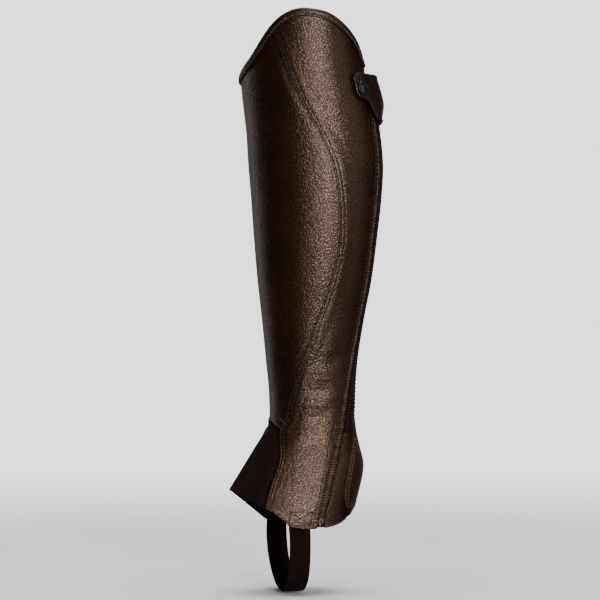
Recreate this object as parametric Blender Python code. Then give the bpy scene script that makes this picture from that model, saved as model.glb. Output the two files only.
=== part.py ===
"""A leather half chap for the left leg, filled out as when it is worn.

The leg's surface comes from a short table of sections. Each leather or elastic
piece is a wall between two seams on that surface, and what lies on or under a
piece is made from the same points, moved out or in.

+Z is up, the toe points to -X, the outer side faces -Y and the inner side +Y.
The origin is on the leg's axis, at the calf's widest girth. Angles go round the
leg in degrees: 0 shin, 90 outer side, 180 calf, 270 inner side. Sizes are in
millimetres until a mesh is made.
"""
import math

import bmesh
import bpy
import numpy as np
from mathutils import Matrix, Vector

MM = 0.001

# Thicknesses and gaps
LEATHER = 1.5
ELASTIC = 1.5
TAPE = 1.0
STRAP = 1.8
BINDING = 1.0
GAP = 0.3
SEAM_HALF = 0.2
BINDING_GAP = 0.4

# Lapped seams: the upper piece's edge rises and the lower piece dips and runs on under it
LAP = 7.0
LAP_RAMP = 7.0
LAP_RISE = 1.0
LAP_DIP = LEATHER + GAP + 0.2 - LAP_RISE

# Zip
ZIP_OPEN_HALF = 3.7
TAPE_WIDTH = 9.0
ZIP_TOP = 80.0
SLIDER_HEIGHT = 66.0
SLIDER_LIFT = 0.35
NECK_HALF = 1.2
NECK_LENGTH = 3.0

# Top binding. It steps up over the long seam's lap, beginning and ending this far from it
BAND = 6.0
BINDING_LEAD = 13.0
BINDING_STEP = 5.0

# Snap
SNAP_ANGLE = 122.0
SNAP_HEIGHT = 63.6
CAP_RADIUS = 6.15
CAP_SEAT = 0.15
SOCKET_RADIUS = 4.5
SOCKET = 1.0
SOCKET_DROP = 0.6
STUD_RADIUS = 4.2
STUD_POST = 2.0

# Foot strap
STRAP_FRONT = -34.6
STRAP_BACK = -15.8
STRAP_SEWN_TOP = -299.0

# Sections of the leg, from the foot up. Columns: height, shin line, calf line, half
# width, widest place as a share of the depth, sharpness of the fold down the front
SECTIONS = np.array([
    (-330.0, -106.0, 27.5, 44.5, 0.66, 1.0),
    (-320.0, -99.5, 30.0, 44.3, 0.66, 1.0),
    (-302.0, -89.0, 33.5, 43.3, 0.64, 1.0),
    (-286.0, -79.5, 38.3, 41.3, 0.62, 1.0),
    (-263.0, -65.0, 42.5, 38.3, 0.58, 1.0),
    (-245.0, -53.5, 38.5, 35.8, 0.55, 0.8),
    (-234.0, -46.0, 36.0, 34.6, 0.53, 0.0),
    (-224.0, -42.0, 34.5, 34.0, 0.52, 0.0),
    (-206.0, -41.5, 34.5, 34.5, 0.52, 0.0),
    (-171.0, -44.5, 37.0, 37.0, 0.53, 0.0),
    (-136.0, -48.0, 42.5, 41.0, 0.54, 0.0),
    (-100.0, -52.0, 49.5, 45.5, 0.55, 0.0),
    (-65.0, -55.0, 54.0, 49.5, 0.56, 0.0),
    (-30.0, -57.5, 58.0, 52.5, 0.56, 0.0),
    (0.0, -60.0, 59.5, 54.0, 0.56, 0.0),
    (30.0, -62.0, 56.5, 54.5, 0.56, 0.0),
    (57.0, -65.2, 51.0, 55.5, 0.56, 0.0),
    (75.0, -66.9, 45.5, 56.0, 0.56, 0.0),
    (105.0, -67.8, 40.5, 56.5, 0.56, 0.0),
    (145.0, -67.6, 35.5, 56.5, 0.56, 0.0),
])
FOLD_ANGLE = 52.0
FOLD_ROUND = 0.12

# Soft folds pressed into the leather. Columns: angle, height, half length in degrees,
# half breadth, depth (a ridge is negative), fall in mm over each ten degrees
FOLDS = (
    (98.0, -172.0, 24.0, 8.0, 0.8, -1.0),
    (88.0, -196.0, 28.0, 9.0, 1.2, -1.5),
    (86.0, -219.0, 26.0, 8.0, 1.1, -1.0),
    (80.0, -243.0, 20.0, 8.0, 0.8, 0.5),
    (272.0, -182.0, 26.0, 9.0, 1.0, 1.0),
    (264.0, -207.0, 28.0, 9.0, 1.2, 1.5),
    (270.0, -233.0, 24.0, 8.0, 0.9, 1.0),
    (122.0, -12.0, 26.0, 9.0, 0.6, 1.0),
    (246.0, -20.0, 24.0, 9.0, 0.6, -1.0),
)

# Edges and seams. Columns: where, value
# Top edge of the leather: angle, height. The outer side rises to a peak.
TOP_EDGE = (
    (-213.0, 80.0), (-200.0, 77.0), (-180.0, 75.0), (-150.0, 74.0), (-110.0, 74.5),
    (-60.0, 75.6), (-30.0, 75.8), (-14.0, 76.4), (-5.0, 77.8), (3.0, 80.8),
    (12.0, 85.4), (21.0, 91.1), (28.0, 97.6), (34.0, 104.5), (39.5, 110.6),
    (44.5, 116.1), (53.5, 123.6), (62.5, 128.3), (71.0, 130.3), (81.0, 129.8),
    (91.0, 128.1), (103.5, 123.7), (116.0, 116.7), (123.5, 111.6), (129.5, 107.0),
    (134.5, 102.0), (139.0, 96.0), (143.5, 88.6), (151.0, 79.5), (162.0, 76.5),
    (180.0, 75.0),
    (210.0, 74.0), (250.0, 74.5), (300.0, 75.6), (330.0, 75.8),
)
# Hem of the foot: angle, height
HEM = (
    (53.5, -298.0), (60.0, -301.5), (67.0, -306.5), (72.0, -311.0), (76.0, -314.5),
    (80.0, -315.5), (97.0, -316.0), (110.0, -315.0), (124.5, -312.5), (133.5, -310.0),
    (143.5, -305.5), (160.0, -301.5), (180.0, -300.0), (200.0, -301.5), (216.5, -305.5),
    (235.5, -312.5), (250.0, -315.0), (264.0, -316.0), (276.0, -316.3), (283.5, -315.2),
    (289.0, -311.2), (293.0, -307.8), (300.0, -302.6), (306.5, -298.6),
)
# Long decorative seam, then the leather's front edge over the gusset: height, angle
OUTER_SEAM = (
    (-320.0, 57.0), (-298.0, 53.5), (-283.0, 51.5), (-271.0, 50.0), (-257.0, 48.5),
    (-249.0, 44.5), (-240.0, 38.0), (-232.0, 34.0), (-221.0, 38.0), (-210.0, 42.0),
    (-190.0, 51.5), (-172.0, 61.0), (-155.0, 70.0), (-143.0, 74.0), (-129.0, 79.5),
    (-110.0, 85.0), (-91.0, 88.8), (-67.0, 91.8), (-50.0, 90.8), (-24.0, 87.8),
    (2.0, 83.0), (21.0, 77.0), (32.0, 72.5), (50.0, 65.5), (74.0, 58.0),
    (92.0, 52.5), (112.0, 45.0), (125.0, 38.0),
)
# The same edge on the inner side, where the seam runs straight down: height, angle
INNER_SEAM = (
    (-320.0, 303.0), (-298.0, 306.5), (-283.0, 308.5), (-271.0, 310.0), (-257.0, 311.5),
    (-249.0, 315.5), (-240.0, 321.0), (-232.0, 324.0), (-215.0, 324.5), (-150.0, 325.0),
    (-60.0, 327.0), (0.0, 328.0), (100.0, 329.0),
)
# Middle of the zip: height, angle
ZIP_LINE = (
    (-320.0, 97.0), (-302.0, 96.5), (-290.0, 97.0), (-275.0, 98.0), (-262.0, 101.0),
    (-249.0, 107.0), (-232.0, 117.0), (-214.0, 124.0), (-198.0, 129.0), (-180.0, 135.0),
    (-165.0, 138.5), (-136.0, 142.0), (-105.0, 142.5), (-66.0, 141.5), (-40.0, 142.0),
    (-14.0, 143.5), (10.0, 143.0), (33.0, 143.0), (48.0, 145.0), (58.0, 146.3),
    (74.0, 147.2), (86.0, 150.0), (96.0, 153.0), (110.0, 156.0),
)
# Back edge of the inner panel, which turns forward over the heel: height, angle
HEEL_LINE = (
    (-312.0, 147.0), (-303.5, 134.0), (-295.0, 124.0), (-285.5, 119.5), (-273.5, 118.5),
    (-260.5, 121.5), (-249.5, 129.0), (-241.0, 136.0), (-221.0, 149.0), (-204.0, 161.0),
    (-185.0, 169.0), (-160.0, 171.5), (-60.0, 172.0), (90.0, 172.0),
)
HEEL_PATCH_TOP = -234.0
# Bottom of the front panel, over the gusset's top: angle, height
SHIN_BOTTOM = (
    (-40.0, -232.5), (-30.0, -230.5), (-12.0, -225.5), (0.0, -224.0), (12.0, -225.5),
    (26.0, -229.5), (38.0, -232.5),
)
# Bottom of the gusset's two wings: angle, height
GUSSET_BOTTOM = (
    (-62.0, -300.0), (-50.0, -296.9), (-42.0, -294.4), (-31.0, -291.2), (-17.5, -287.4),
    (-8.0, -285.2), (0.0, -284.4), (8.0, -285.4), (17.5, -287.8), (31.0, -291.6),
    (42.0, -294.8), (50.0, -297.2), (62.0, -300.5),
)
GUSSET_TOP = -219.0
# The long seam's lap fades out below this height, over the gusset
SEAM_ENDS = -243.0

# Snap tab. Lower and upper edges: angle, height
TAB_LOWER = (
    (115.0, 58.5), (117.0, 56.0), (121.0, 54.3), (125.0, 53.0), (128.0, 50.5),
    (131.0, 45.0), (134.5, 39.5), (140.0, 36.5), (150.0, 35.5), (196.0, 35.0),
)
TAB_UPPER = (
    (115.0, 73.0), (117.0, 75.3), (121.0, 76.8), (128.0, 77.3), (140.0, 76.3),
    (150.0, 75.8), (163.0, 74.8), (171.0, 71.0), (178.0, 66.5), (196.0, 65.5),
)
TAB_END = 115.0
TAB_ROOT = 196.0
# How far the tab's inner face stands off the leg: angle, upper part, lower edge
TAB_STANDOFF = np.array([
    (115.0, 2.4, 2.2), (119.0, 3.1, 2.9), (124.0, 3.4, 3.2), (129.0, 3.5, 3.3),
    (133.0, 3.8, 3.4), (137.0, 4.7, 3.7), (142.0, 6.3, 4.0), (147.0, 6.9, 3.7),
    (152.0, 6.7, 2.6), (157.0, 5.9, 1.4), (163.0, 4.6, 0.8), (170.0, 3.0, 0.6),
    (180.0, 1.4, 0.6), (186.0, 0.6, 0.5), (196.0, 0.5, 0.5),
])
TAB_HIGH = 53.0
TAB_LOW = 35.0

# Run of the foot strap's outer face under the foot, below the hem: across, height
STRAP_RUN = (
    (-41.8, -324.0), (-42.0, -335.0), (-40.8, -345.0), (-38.2, -354.0), (-34.5, -361.0),
    (-29.0, -366.5), (-21.0, -371.0), (-12.0, -373.0), (-4.0, -372.4), (4.0, -370.0),
    (12.0, -366.6), (19.0, -362.2), (26.0, -356.4), (32.0, -349.5), (37.2, -341.5),
    (40.3, -333.0), (41.8, -324.0),
)


def curve(rows, at):
    """Reads a smooth curve through (where, value) rows at each place asked for."""
    rows = np.array(sorted(tuple(row) for row in rows), float)
    where, value = rows[:, 0], rows[:, 1]
    slope = np.gradient(value, where)
    at = np.clip(np.asarray(at, float), where[0], where[-1])
    left = np.clip(np.searchsorted(where, at) - 1, 0, len(where) - 2)
    span = where[left + 1] - where[left]
    t = (at - where[left]) / span
    start = (1 + 2 * t) * (1 - t) ** 2 * value[left] + t * (1 - t) ** 2 * span * slope[left]
    end = t * t * (3 - 2 * t) * value[left + 1] + t * t * (t - 1) * span * slope[left + 1]
    return start + end


def ease(value):
    """0 to 1 with soft ends."""
    value = np.clip(value, 0.0, 1.0)
    return value * value * (3 - 2 * value)


def egg(angle, height):
    """Point of the leg's plain surface. Each section is two half ellipses, longer to the
    shin than to the calf. Below the ankle its front closes to a fold between two wings."""
    front, back, half, widest, sharp = (
        curve(SECTIONS[:, (0, column)], height) for column in range(1, 6)
    )
    turn = np.radians(angle)
    middle = front + widest * (back - front)
    reach = np.where(np.cos(turn) > 0, middle - front, back - middle)
    x = middle - reach * np.cos(turn)
    y = -half * np.sin(turn)
    sharp = np.clip(sharp, 0.0, 1.0)
    side = (np.asarray(angle) + 180.0) % 360.0 - 180.0
    share = np.clip(np.abs(side) / FOLD_ANGLE, 0.0, 1.0)
    edge = math.radians(FOLD_ANGLE)
    run = (np.hypot(share, FOLD_ROUND) - FOLD_ROUND) / (math.hypot(1.0, FOLD_ROUND) - FOLD_ROUND)
    wing_x = front + (middle - (middle - front) * math.cos(edge) - front) * run
    wing_y = -half * math.sin(edge) * share * np.sign(side)
    sharp = np.where(share < 1.0, sharp, 0.0)
    return np.stack([x + (wing_x - x) * sharp, y + (wing_y - y) * sharp, height + 0.0 * x], -1)


def around(angle, height):
    """Millimetres of surface in one degree round the leg."""
    step = 0.5
    return np.linalg.norm(egg(angle + step, height) - egg(angle - step, height), axis=-1)


def normal(angle, height):
    step_angle, step_height = 1.0, 1.0
    along = egg(angle + step_angle, height) - egg(angle - step_angle, height)
    up = egg(angle, height + step_height) - egg(angle, height - step_height)
    out = np.cross(along, up)
    return out / np.linalg.norm(out, axis=-1, keepdims=True)


def folds(angle, height):
    """Height of the soft folds: each is a trough that fades out at its ends."""
    lift = np.zeros(np.broadcast(angle, height).shape)
    for middle, level, length, breadth, depth, fall in FOLDS:
        away = (angle - middle + 180.0) % 360.0 - 180.0
        drop = height - level + fall * away / 10.0
        lift -= depth * np.exp(-((drop / breadth) ** 2)) * ease(1.0 - np.abs(away) / length)
    return lift


def surface(angle, height, lift):
    """Point of the leg's surface with its folds, moved out by lift."""
    angle, height, lift = np.broadcast_arrays(angle, height, lift)
    moved = lift + folds(angle, height)
    return egg(angle, height) + normal(angle, height) * moved[..., None]


def material(name, colour, roughness, metallic=0.0):
    made = bpy.data.materials.new(name)
    made.use_nodes = True
    shader = made.node_tree.nodes["Principled BSDF"]
    shader.inputs["Base Color"].default_value = (*colour, 1.0)
    shader.inputs["Roughness"].default_value = roughness
    shader.inputs["Metallic"].default_value = metallic
    made.diffuse_color = (*colour, 1.0)
    return made


def add_object(name, vertices, faces, finish, smooth_angle=40.0):
    mesh = bpy.data.meshes.new(name)
    mesh.from_pydata([tuple(v) for v in np.asarray(vertices) * MM], [], faces)
    mesh.materials.append(finish)
    mesh.validate()
    mesh.shade_smooth()
    mesh.set_sharp_from_angle(angle=math.radians(smooth_angle))
    made = bpy.data.objects.new(name, mesh)
    bpy.context.collection.objects.link(made)
    return made


def closed_wall(name, outside, inside, finish):
    """A closed wall from two grids of points, joined along their four borders.
    Rows run up the leg and columns run round it, towards larger angles."""
    rows, columns = outside.shape[:2]
    count = rows * columns
    number = np.arange(count).reshape(rows, columns)
    faces = []
    for i in range(rows - 1):
        for j in range(columns - 1):
            a, b = number[i, j], number[i, j + 1]
            c, d = number[i + 1, j + 1], number[i + 1, j]
            faces.append((a, b, c, d))
            faces.append((a + count, d + count, c + count, b + count))
    border = list(number[0, :]) + list(number[1:, -1])
    border += list(number[-1, -2::-1]) + list(number[-2:0:-1, 0])
    for a, b in zip(border, border[1:] + border[:1]):
        faces.append((b, a, a + count, b + count))
    faces = [tuple(int(k) for k in face) for face in faces]
    points = np.concatenate([outside.reshape(-1, 3), inside.reshape(-1, 3)])
    return add_object(name, points, faces, finish)


def steps(count, marks_left=(), marks_right=()):
    """Columns of a piece: (which side it is measured from, millimetres or share)."""
    rows = [("left", mark) for mark in marks_left]
    rows += [("share", k / (count + 1)) for k in range(1, count + 1)]
    rows += [("right", mark) for mark in reversed(marks_right)]
    return rows


def patch(left, right, bottom, top, columns, rows):
    """Angles and heights of a grid between two seams and two edges.

    left and right give the angle at a height, bottom and top the height at an angle.
    Each settles on the other in a few rounds."""
    low_left = [mark for side, mark in columns if side == "left"][-1]
    low_right = [mark for side, mark in columns if side == "right"][0]
    height = np.zeros((len(rows), len(columns)))
    angle = np.zeros_like(height)
    share = np.asarray(rows)[:, None]
    for _ in range(40):
        scale = around(angle, height)
        start, end = left(height), right(height)
        for j, (side, mark) in enumerate(columns):
            if side == "left":
                angle[:, j] = start[:, j] + mark / scale[:, j]
            elif side == "right":
                angle[:, j] = end[:, j] - mark / scale[:, j]
            else:
                first = start[:, j] + low_left / scale[:, j]
                last = end[:, j] - low_right / scale[:, j]
                angle[:, j] = first + (last - first) * mark
        low, high = bottom(angle), top(angle)
        height = 0.5 * height + 0.5 * (low + (high - low) * share)
    return angle, height


def wall(name, finish, grid, outer_lift, thickness):
    angle, height = grid
    outside = surface(angle, height, outer_lift)
    inside = surface(angle, height, outer_lift - thickness)
    return closed_wall(name, outside, inside, finish)


def from_edge(angle, height, seam):
    """Millimetres round the leg from a seam, positive towards larger angles."""
    return (angle - seam(height)) * around(angle, height)


def upper_lift(distance):
    """Rise of the piece that lies on top at a lapped seam."""
    return LAP_RISE * (1.0 - ease((distance - LAP) / LAP_RAMP))


def lower_lift(distance):
    """Dip of the piece that runs on under a lapped seam."""
    return -LAP_DIP * ease(distance / LAP_RAMP + 1.0)


def outer_seam(height):
    return curve(OUTER_SEAM, height)


def inner_seam(height):
    return curve(INNER_SEAM, height)


def zip_line(height):
    return curve(ZIP_LINE, height)


def heel_line(height):
    return curve(HEEL_LINE, height)


def hem(angle):
    return curve(HEM, angle)


def top_edge(angle):
    return curve(TOP_EDGE, angle)


def even(count):
    return np.linspace(0.0, 1.0, count + 1)


def graded(count, low_share, low_count):
    """Rows up a piece, closer together in the lowest share of its height."""
    low = np.linspace(0.0, low_share, low_count + 1)
    return np.concatenate([low, np.linspace(low_share, 1.0, count - low_count + 1)[1:]])


def front_panel(finish):
    """Shin wrap, from the inner seam round the shin to the long seam on the outer side."""
    columns = steps(9, (SEAM_HALF, 8.0), (1.0 - LAP, -3.0, LAP_RAMP / 2, LAP_RAMP))
    grid = patch(
        lambda height: inner_seam(height) - 360.0, outer_seam,
        lambda angle: curve(SHIN_BOTTOM, angle), top_edge, columns, graded(32, 0.1, 6),
    )
    lift = lower_lift(from_edge(*grid, outer_seam))
    return wall("front_panel", finish, grid, lift, LEATHER)


def outer_panel(finish):
    """Outer side, from the long seam and the gusset to the zip, with the peaked top."""
    columns = steps(8, (SEAM_HALF, LAP, LAP + LAP_RAMP / 2, LAP + LAP_RAMP), (ZIP_OPEN_HALF, 9.0))
    grid = patch(outer_seam, zip_line, hem, top_edge, columns, graded(44, 0.22, 14))
    seam_part = ease((grid[1] - SEAM_ENDS) / 10.0)
    lift = upper_lift(from_edge(*grid, outer_seam)) * seam_part
    return wall("outer_panel", finish, grid, lift, LEATHER)


def inner_panel(finish):
    """Inner side, from the back elastic and round the heel to the inner front seam."""
    columns = steps(14, (SEAM_HALF, LAP, LAP + LAP_RAMP), (SEAM_HALF, 8.0))
    grid = patch(heel_line, inner_seam, hem, top_edge, columns, graded(40, 0.24, 14))
    heel_part = 1.0 - ease((grid[1] - HEEL_PATCH_TOP - 2.0) / 14.0)
    lift = upper_lift(from_edge(*grid, heel_line)) * heel_part
    return wall("inner_panel", finish, grid, lift, LEATHER)


def back_elastic(finish):
    """Stretch strip beside the zip, down the calf to the heel patch."""
    columns = steps(3, (ZIP_OPEN_HALF, 8.0), (SEAM_HALF, 4.0))
    grid = patch(
        zip_line, heel_line, lambda angle: HEEL_PATCH_TOP + GAP + 0.0 * angle, top_edge,
        columns, even(34),
    )
    return wall("back_elastic", finish, grid, 0.0 * grid[0], ELASTIC)


def heel_patch(finish):
    """Leather patch between the zip and the inner panel's edge, which laps over it."""
    columns = steps(2, (ZIP_OPEN_HALF, 8.0), (1.0 - LAP, -1.0, LAP_RAMP))
    grid = patch(
        zip_line, heel_line, hem, lambda angle: HEEL_PATCH_TOP + 0.0 * angle, columns, even(15),
    )
    lift = lower_lift(from_edge(*grid, heel_line))
    return wall("heel_patch", finish, grid, lift, LEATHER)


def front_gusset(finish):
    """Folded elastic wings over the instep, which run on under the leather's edges."""
    columns = steps(13, (1.0 - LAP, -1.0, LAP_RAMP), (1.0 - LAP, -1.0, LAP_RAMP))

    def left(height):
        return inner_seam(height) - 360.0

    grid = patch(
        left, outer_seam, lambda angle: curve(GUSSET_BOTTOM, angle),
        lambda angle: GUSSET_TOP + 0.0 * angle, columns, even(14),
    )
    angle, height = grid
    to_side = np.maximum(-from_edge(angle, height, left), from_edge(angle, height, outer_seam))
    to_top = height - curve(SHIN_BOTTOM, angle)
    tucked = ease(np.maximum(to_side, to_top) / LAP_RAMP + 1.0)
    under_lap = ease(from_edge(angle, height, outer_seam) / LAP_RAMP + 1.0)
    under_lap = under_lap * ease((height - SEAM_ENDS) / 10.0)
    lift = -(LEATHER + GAP + 0.5) * tucked - LAP_DIP * under_lap
    return wall("front_gusset", finish, grid, lift, ELASTIC)


def zip_tape(name, finish, side):
    """One tape of the zip, under the leather, its edge parted round the slider's neck."""
    neck_low = SLIDER_HEIGHT - NECK_LENGTH / 2 - GAP
    neck_high = SLIDER_HEIGHT + NECK_LENGTH / 2 + GAP

    def tape_top(angle):
        return np.minimum(ZIP_TOP, top_edge(angle) - 11.0)

    def tape_bottom(angle):
        return hem(angle) + 2.0

    def parted(height):
        apart = (height > neck_low - 0.01) & (height < neck_high + 0.01)
        return np.where(apart, NECK_HALF + GAP, GAP / 2)

    low = float(tape_bottom(np.array(98.0)))
    marks = [neck_low - 0.8, neck_low, neck_high, neck_high + 0.8]
    heights = np.concatenate([np.linspace(low, neck_low - 4.0, 40), marks, [ZIP_TOP - 4.0, ZIP_TOP]])
    width = np.array([0.0, 0.35, 1.0])
    level = np.repeat(heights[:, None], len(width), 1)
    for _ in range(20):
        middle = zip_line(level)
        scale = around(middle, level)
        inner = parted(level)
        out = inner + (TAPE_WIDTH - inner) * width
        angle = middle + side * out / scale
        low_edge, high_edge = tape_bottom(angle), tape_top(angle)
        level = np.clip(np.repeat(heights[:, None], len(width), 1), low_edge, high_edge)
    if side < 0:
        angle, level = angle[:, ::-1], level[:, ::-1]
    return wall(name, finish, (angle, level), np.full(angle.shape, -LEATHER - GAP), TAPE)


def top_binding(finish):
    """A strip folded over the top edge, carried along it square to the edge."""
    start = float(zip_line(top_edge(146.0))) - 360.0 + 6.5
    stop = float(zip_line(86.0)) - 4.4
    angle = np.linspace(start, stop, 96)
    height = top_edge(angle)
    scale = around(angle, height)
    rise = np.gradient(height) / (np.gradient(angle) * scale)
    length = np.hypot(1.0, rise)
    side_way, up_way = -rise / length, 1.0 / length
    lapped = from_edge(angle, height, outer_seam)
    lead = ease((lapped + BINDING_LEAD) / BINDING_STEP)
    over_lap = lead * (1.0 - ease((lapped - LAP - LAP_RAMP - 2.0) / BINDING_STEP))
    over_inside = lead * (1.0 - ease((lapped - LAP - 2.0) / BINDING_STEP))
    outer = BINDING_GAP + (LAP_RISE + 0.1) * over_lap
    inner = -LEATHER - BINDING_GAP - (LAP_DIP + 0.1) * over_inside
    shoulder = BINDING_GAP + 0.35 * BINDING
    crown = BINDING_GAP + BINDING
    profile = (
        (outer, -BAND), (outer + BINDING, -BAND), (outer + BINDING, shoulder),
        (outer + 0.55 * BINDING, crown), (inner - 0.55 * BINDING, crown),
        (inner - BINDING, shoulder), (inner - BINDING, -BAND), (inner, -BAND),
        (inner, BINDING_GAP), (outer, BINDING_GAP),
    )
    rings = []
    for lift, along in profile:
        angles = angle + side_way * along / scale
        heights = height + up_way * along
        rings.append(surface(angles, heights, lift + 0.0 * angles))
    rings = np.stack(rings, 1)
    return tube("top_binding", rings, finish)


def tube(name, rings, finish):
    """A closed solid through rings of points, capped at both ends."""
    stations, points = rings.shape[:2]
    number = np.arange(stations * points).reshape(stations, points)
    faces = []
    for i in range(stations - 1):
        for j in range(points):
            k = (j + 1) % points
            faces.append((number[i, j], number[i, k], number[i + 1, k], number[i + 1, j]))
    faces.append(tuple(number[0, ::-1]))
    faces.append(tuple(number[-1, :]))
    faces = [tuple(int(k) for k in face) for face in faces]
    made = add_object(name, rings.reshape(-1, 3), faces, finish)
    mesh = bmesh.new()
    mesh.from_mesh(made.data)
    bmesh.ops.recalc_face_normals(mesh, faces=mesh.faces)
    bmesh.ops.triangulate(mesh, faces=[f for f in mesh.faces if len(f.verts) > 4])
    mesh.to_mesh(made.data)
    mesh.free()
    return made


def snap_tab(finish):
    """Leather tab from the inner panel, round the back and over the zip to the snap."""
    angle = np.concatenate([
        [TAB_END, 116.0, 118.0, 121.0, 124.5], np.linspace(128.0, TAB_ROOT, 18),
    ])
    share = np.linspace(0.0, 1.0, 7)[:, None]
    low, high = curve(TAB_LOWER, angle), curve(TAB_UPPER, angle)
    height = low + (high - low) * share
    angle = np.broadcast_to(angle, height.shape)
    outside, inside = tab_face(angle, height, LEATHER), tab_face(angle, height, 0.0)
    return closed_wall("snap_tab", outside, inside, finish)


def tab_face(angle, height, lift):
    """Point of the snap tab, moved out from its inner face by lift."""
    full = curve(TAB_STANDOFF[:, (0, 1)], angle)
    edge = curve(TAB_STANDOFF[:, (0, 2)], angle)
    off = edge + (full - edge) * ease((height - TAB_LOW) / (TAB_HIGH - TAB_LOW))
    return egg(angle, height) + normal(angle, height) * (off + lift)[..., None]


def leg_face(angle, height, lift):
    return surface(angle, height, lift)


def frame_at(face, angle, height, lift):
    """A place on a face: X round the leg, Y up it, Z straight out. Its place is in metres."""
    angle, height = np.array(float(angle)), np.array(float(height))
    zero = np.array(0.0)
    across = face(angle + 1.0, height, zero) - face(angle - 1.0, height, zero)
    up = face(angle, height + 1.0, zero) - face(angle, height - 1.0, zero)
    out = np.cross(across, up)
    out /= np.linalg.norm(out)
    across = np.cross(up, out)
    across /= np.linalg.norm(across)
    up = np.cross(out, across)
    place = (face(angle, height, zero) + out * lift) * MM
    made = Matrix.Identity(4)
    for column, vector in enumerate((across, up, out, place)):
        for row in range(3):
            made[row][column] = vector[row]
    return made


def turned(name, profile, place, finish, sides=24):
    """A turned solid from (radius, height) rows, first and last on the axis."""
    points = [(0.0, 0.0, profile[0][1])]
    for radius, level in profile[1:-1]:
        for k in range(sides):
            turn = 2 * math.pi * k / sides
            points.append((radius * math.cos(turn), radius * math.sin(turn), level))
    points.append((0.0, 0.0, profile[-1][1]))
    rings = len(profile) - 2
    faces = []
    for k in range(sides):
        after = (k + 1) % sides
        faces.append((0, 1 + after, 1 + k))
        for ring in range(rings - 1):
            a = 1 + ring * sides
            faces.append((a + k, a + after, a + sides + after, a + sides + k))
        a = 1 + (rings - 1) * sides
        faces.append((a + k, a + after, len(points) - 1))
    made = add_object(name, points, faces, finish)
    made.matrix_world = place
    return made


def snap(cap_finish, metal):
    """The domed cap on the tab, the socket under it and the stud on the outer panel."""
    on_tab = (tab_face, SNAP_ANGLE, SNAP_HEIGHT)
    on_leg = (leg_face, SNAP_ANGLE, SNAP_HEIGHT)
    over_tab = frame_at(*on_tab, LEATHER + GAP + CAP_SEAT)
    r = CAP_RADIUS
    dome = (
        (0.0, 0.0), (r - 0.8, 0.0), (r - 0.15, 0.25), (r, 0.7), (r - 0.25, 1.15),
        (r - 1.0, 1.7), (r - 2.3, 2.25), (r - 4.0, 2.6), (0.0, 2.75),
    )
    turned("snap_cap", dome, over_tab, cap_finish)
    socket = (
        (0.0, 0.0), (SOCKET_RADIUS - 0.3, 0.0), (SOCKET_RADIUS, 0.3), (SOCKET_RADIUS, SOCKET),
        (0.0, SOCKET),
    )
    turned("snap_socket", socket, frame_at(*on_tab, -SOCKET - SOCKET_DROP), metal, 16)
    stud = (
        (0.0, 0.0), (STUD_RADIUS, 0.0), (STUD_RADIUS, 0.5), (STUD_POST, 0.7), (STUD_POST, 1.0),
        (0.0, 1.0),
    )
    turned("snap_stud", stud, frame_at(*on_leg, GAP), metal, 16)


def box_object(name, low, high, bevel=0.0):
    """A box between two corners, in millimetres of its own place."""
    mesh = bmesh.new()
    bmesh.ops.create_cube(mesh, size=1.0)
    size = Vector(high) - Vector(low)
    middle = (Vector(high) + Vector(low)) / 2
    bmesh.ops.scale(mesh, vec=size * MM, verts=mesh.verts)
    bmesh.ops.translate(mesh, vec=middle * MM, verts=mesh.verts)
    if bevel:
        bmesh.ops.bevel(
            mesh, geom=list(mesh.edges), offset=bevel * MM, segments=1, affect="EDGES",
            clamp_overlap=True,
        )
    data = bpy.data.meshes.new(name)
    mesh.to_mesh(data)
    mesh.free()
    made = bpy.data.objects.new(name, data)
    bpy.context.collection.objects.link(made)
    return made


def joined(body, others, operation):
    """Adds or cuts other shapes, which stay hidden."""
    for other in others:
        other.hide_render = True
        other.display_type = "WIRE"
        step = body.modifiers.new(other.name, "BOOLEAN")
        step.operation = operation
        step.solver = "EXACT"
        step.object = other


# The bridge on the slider that holds the pull, along the slider's length and outwards
BRIDGE_BACK, BRIDGE_FRONT = -3.4, 2.8
BRIDGE_LEG = 1.2
BRIDGE_HALF = 0.7
BRIDGE_UNDER, BRIDGE_TOP = 3.0, 3.9
PLATE_HALF_WIDTH = 4.2
PLATE_HALF_LENGTH = 6.0
PLATE = 1.1
FOOT_HALF_WIDTH = 2.9
FOOT_HALF_LENGTH = 5.0
FOOT = 0.9
# The pull's bar turns under the bridge. Its window and grip are cut through it
PIVOT_ALONG, PIVOT_OUT = -0.1, 2.05
PULL_HALF_THICKNESS = 0.5
PULL_LENGTH = 16.0
PULL_HALF_WIDTH = 3.4
BAR_HALF = 0.55
WINDOW_HALF, WINDOW_END = 1.6, -5.0
GRIP_HALF, GRIP_START, GRIP_END = 1.8, -8.2, -13.8


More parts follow.
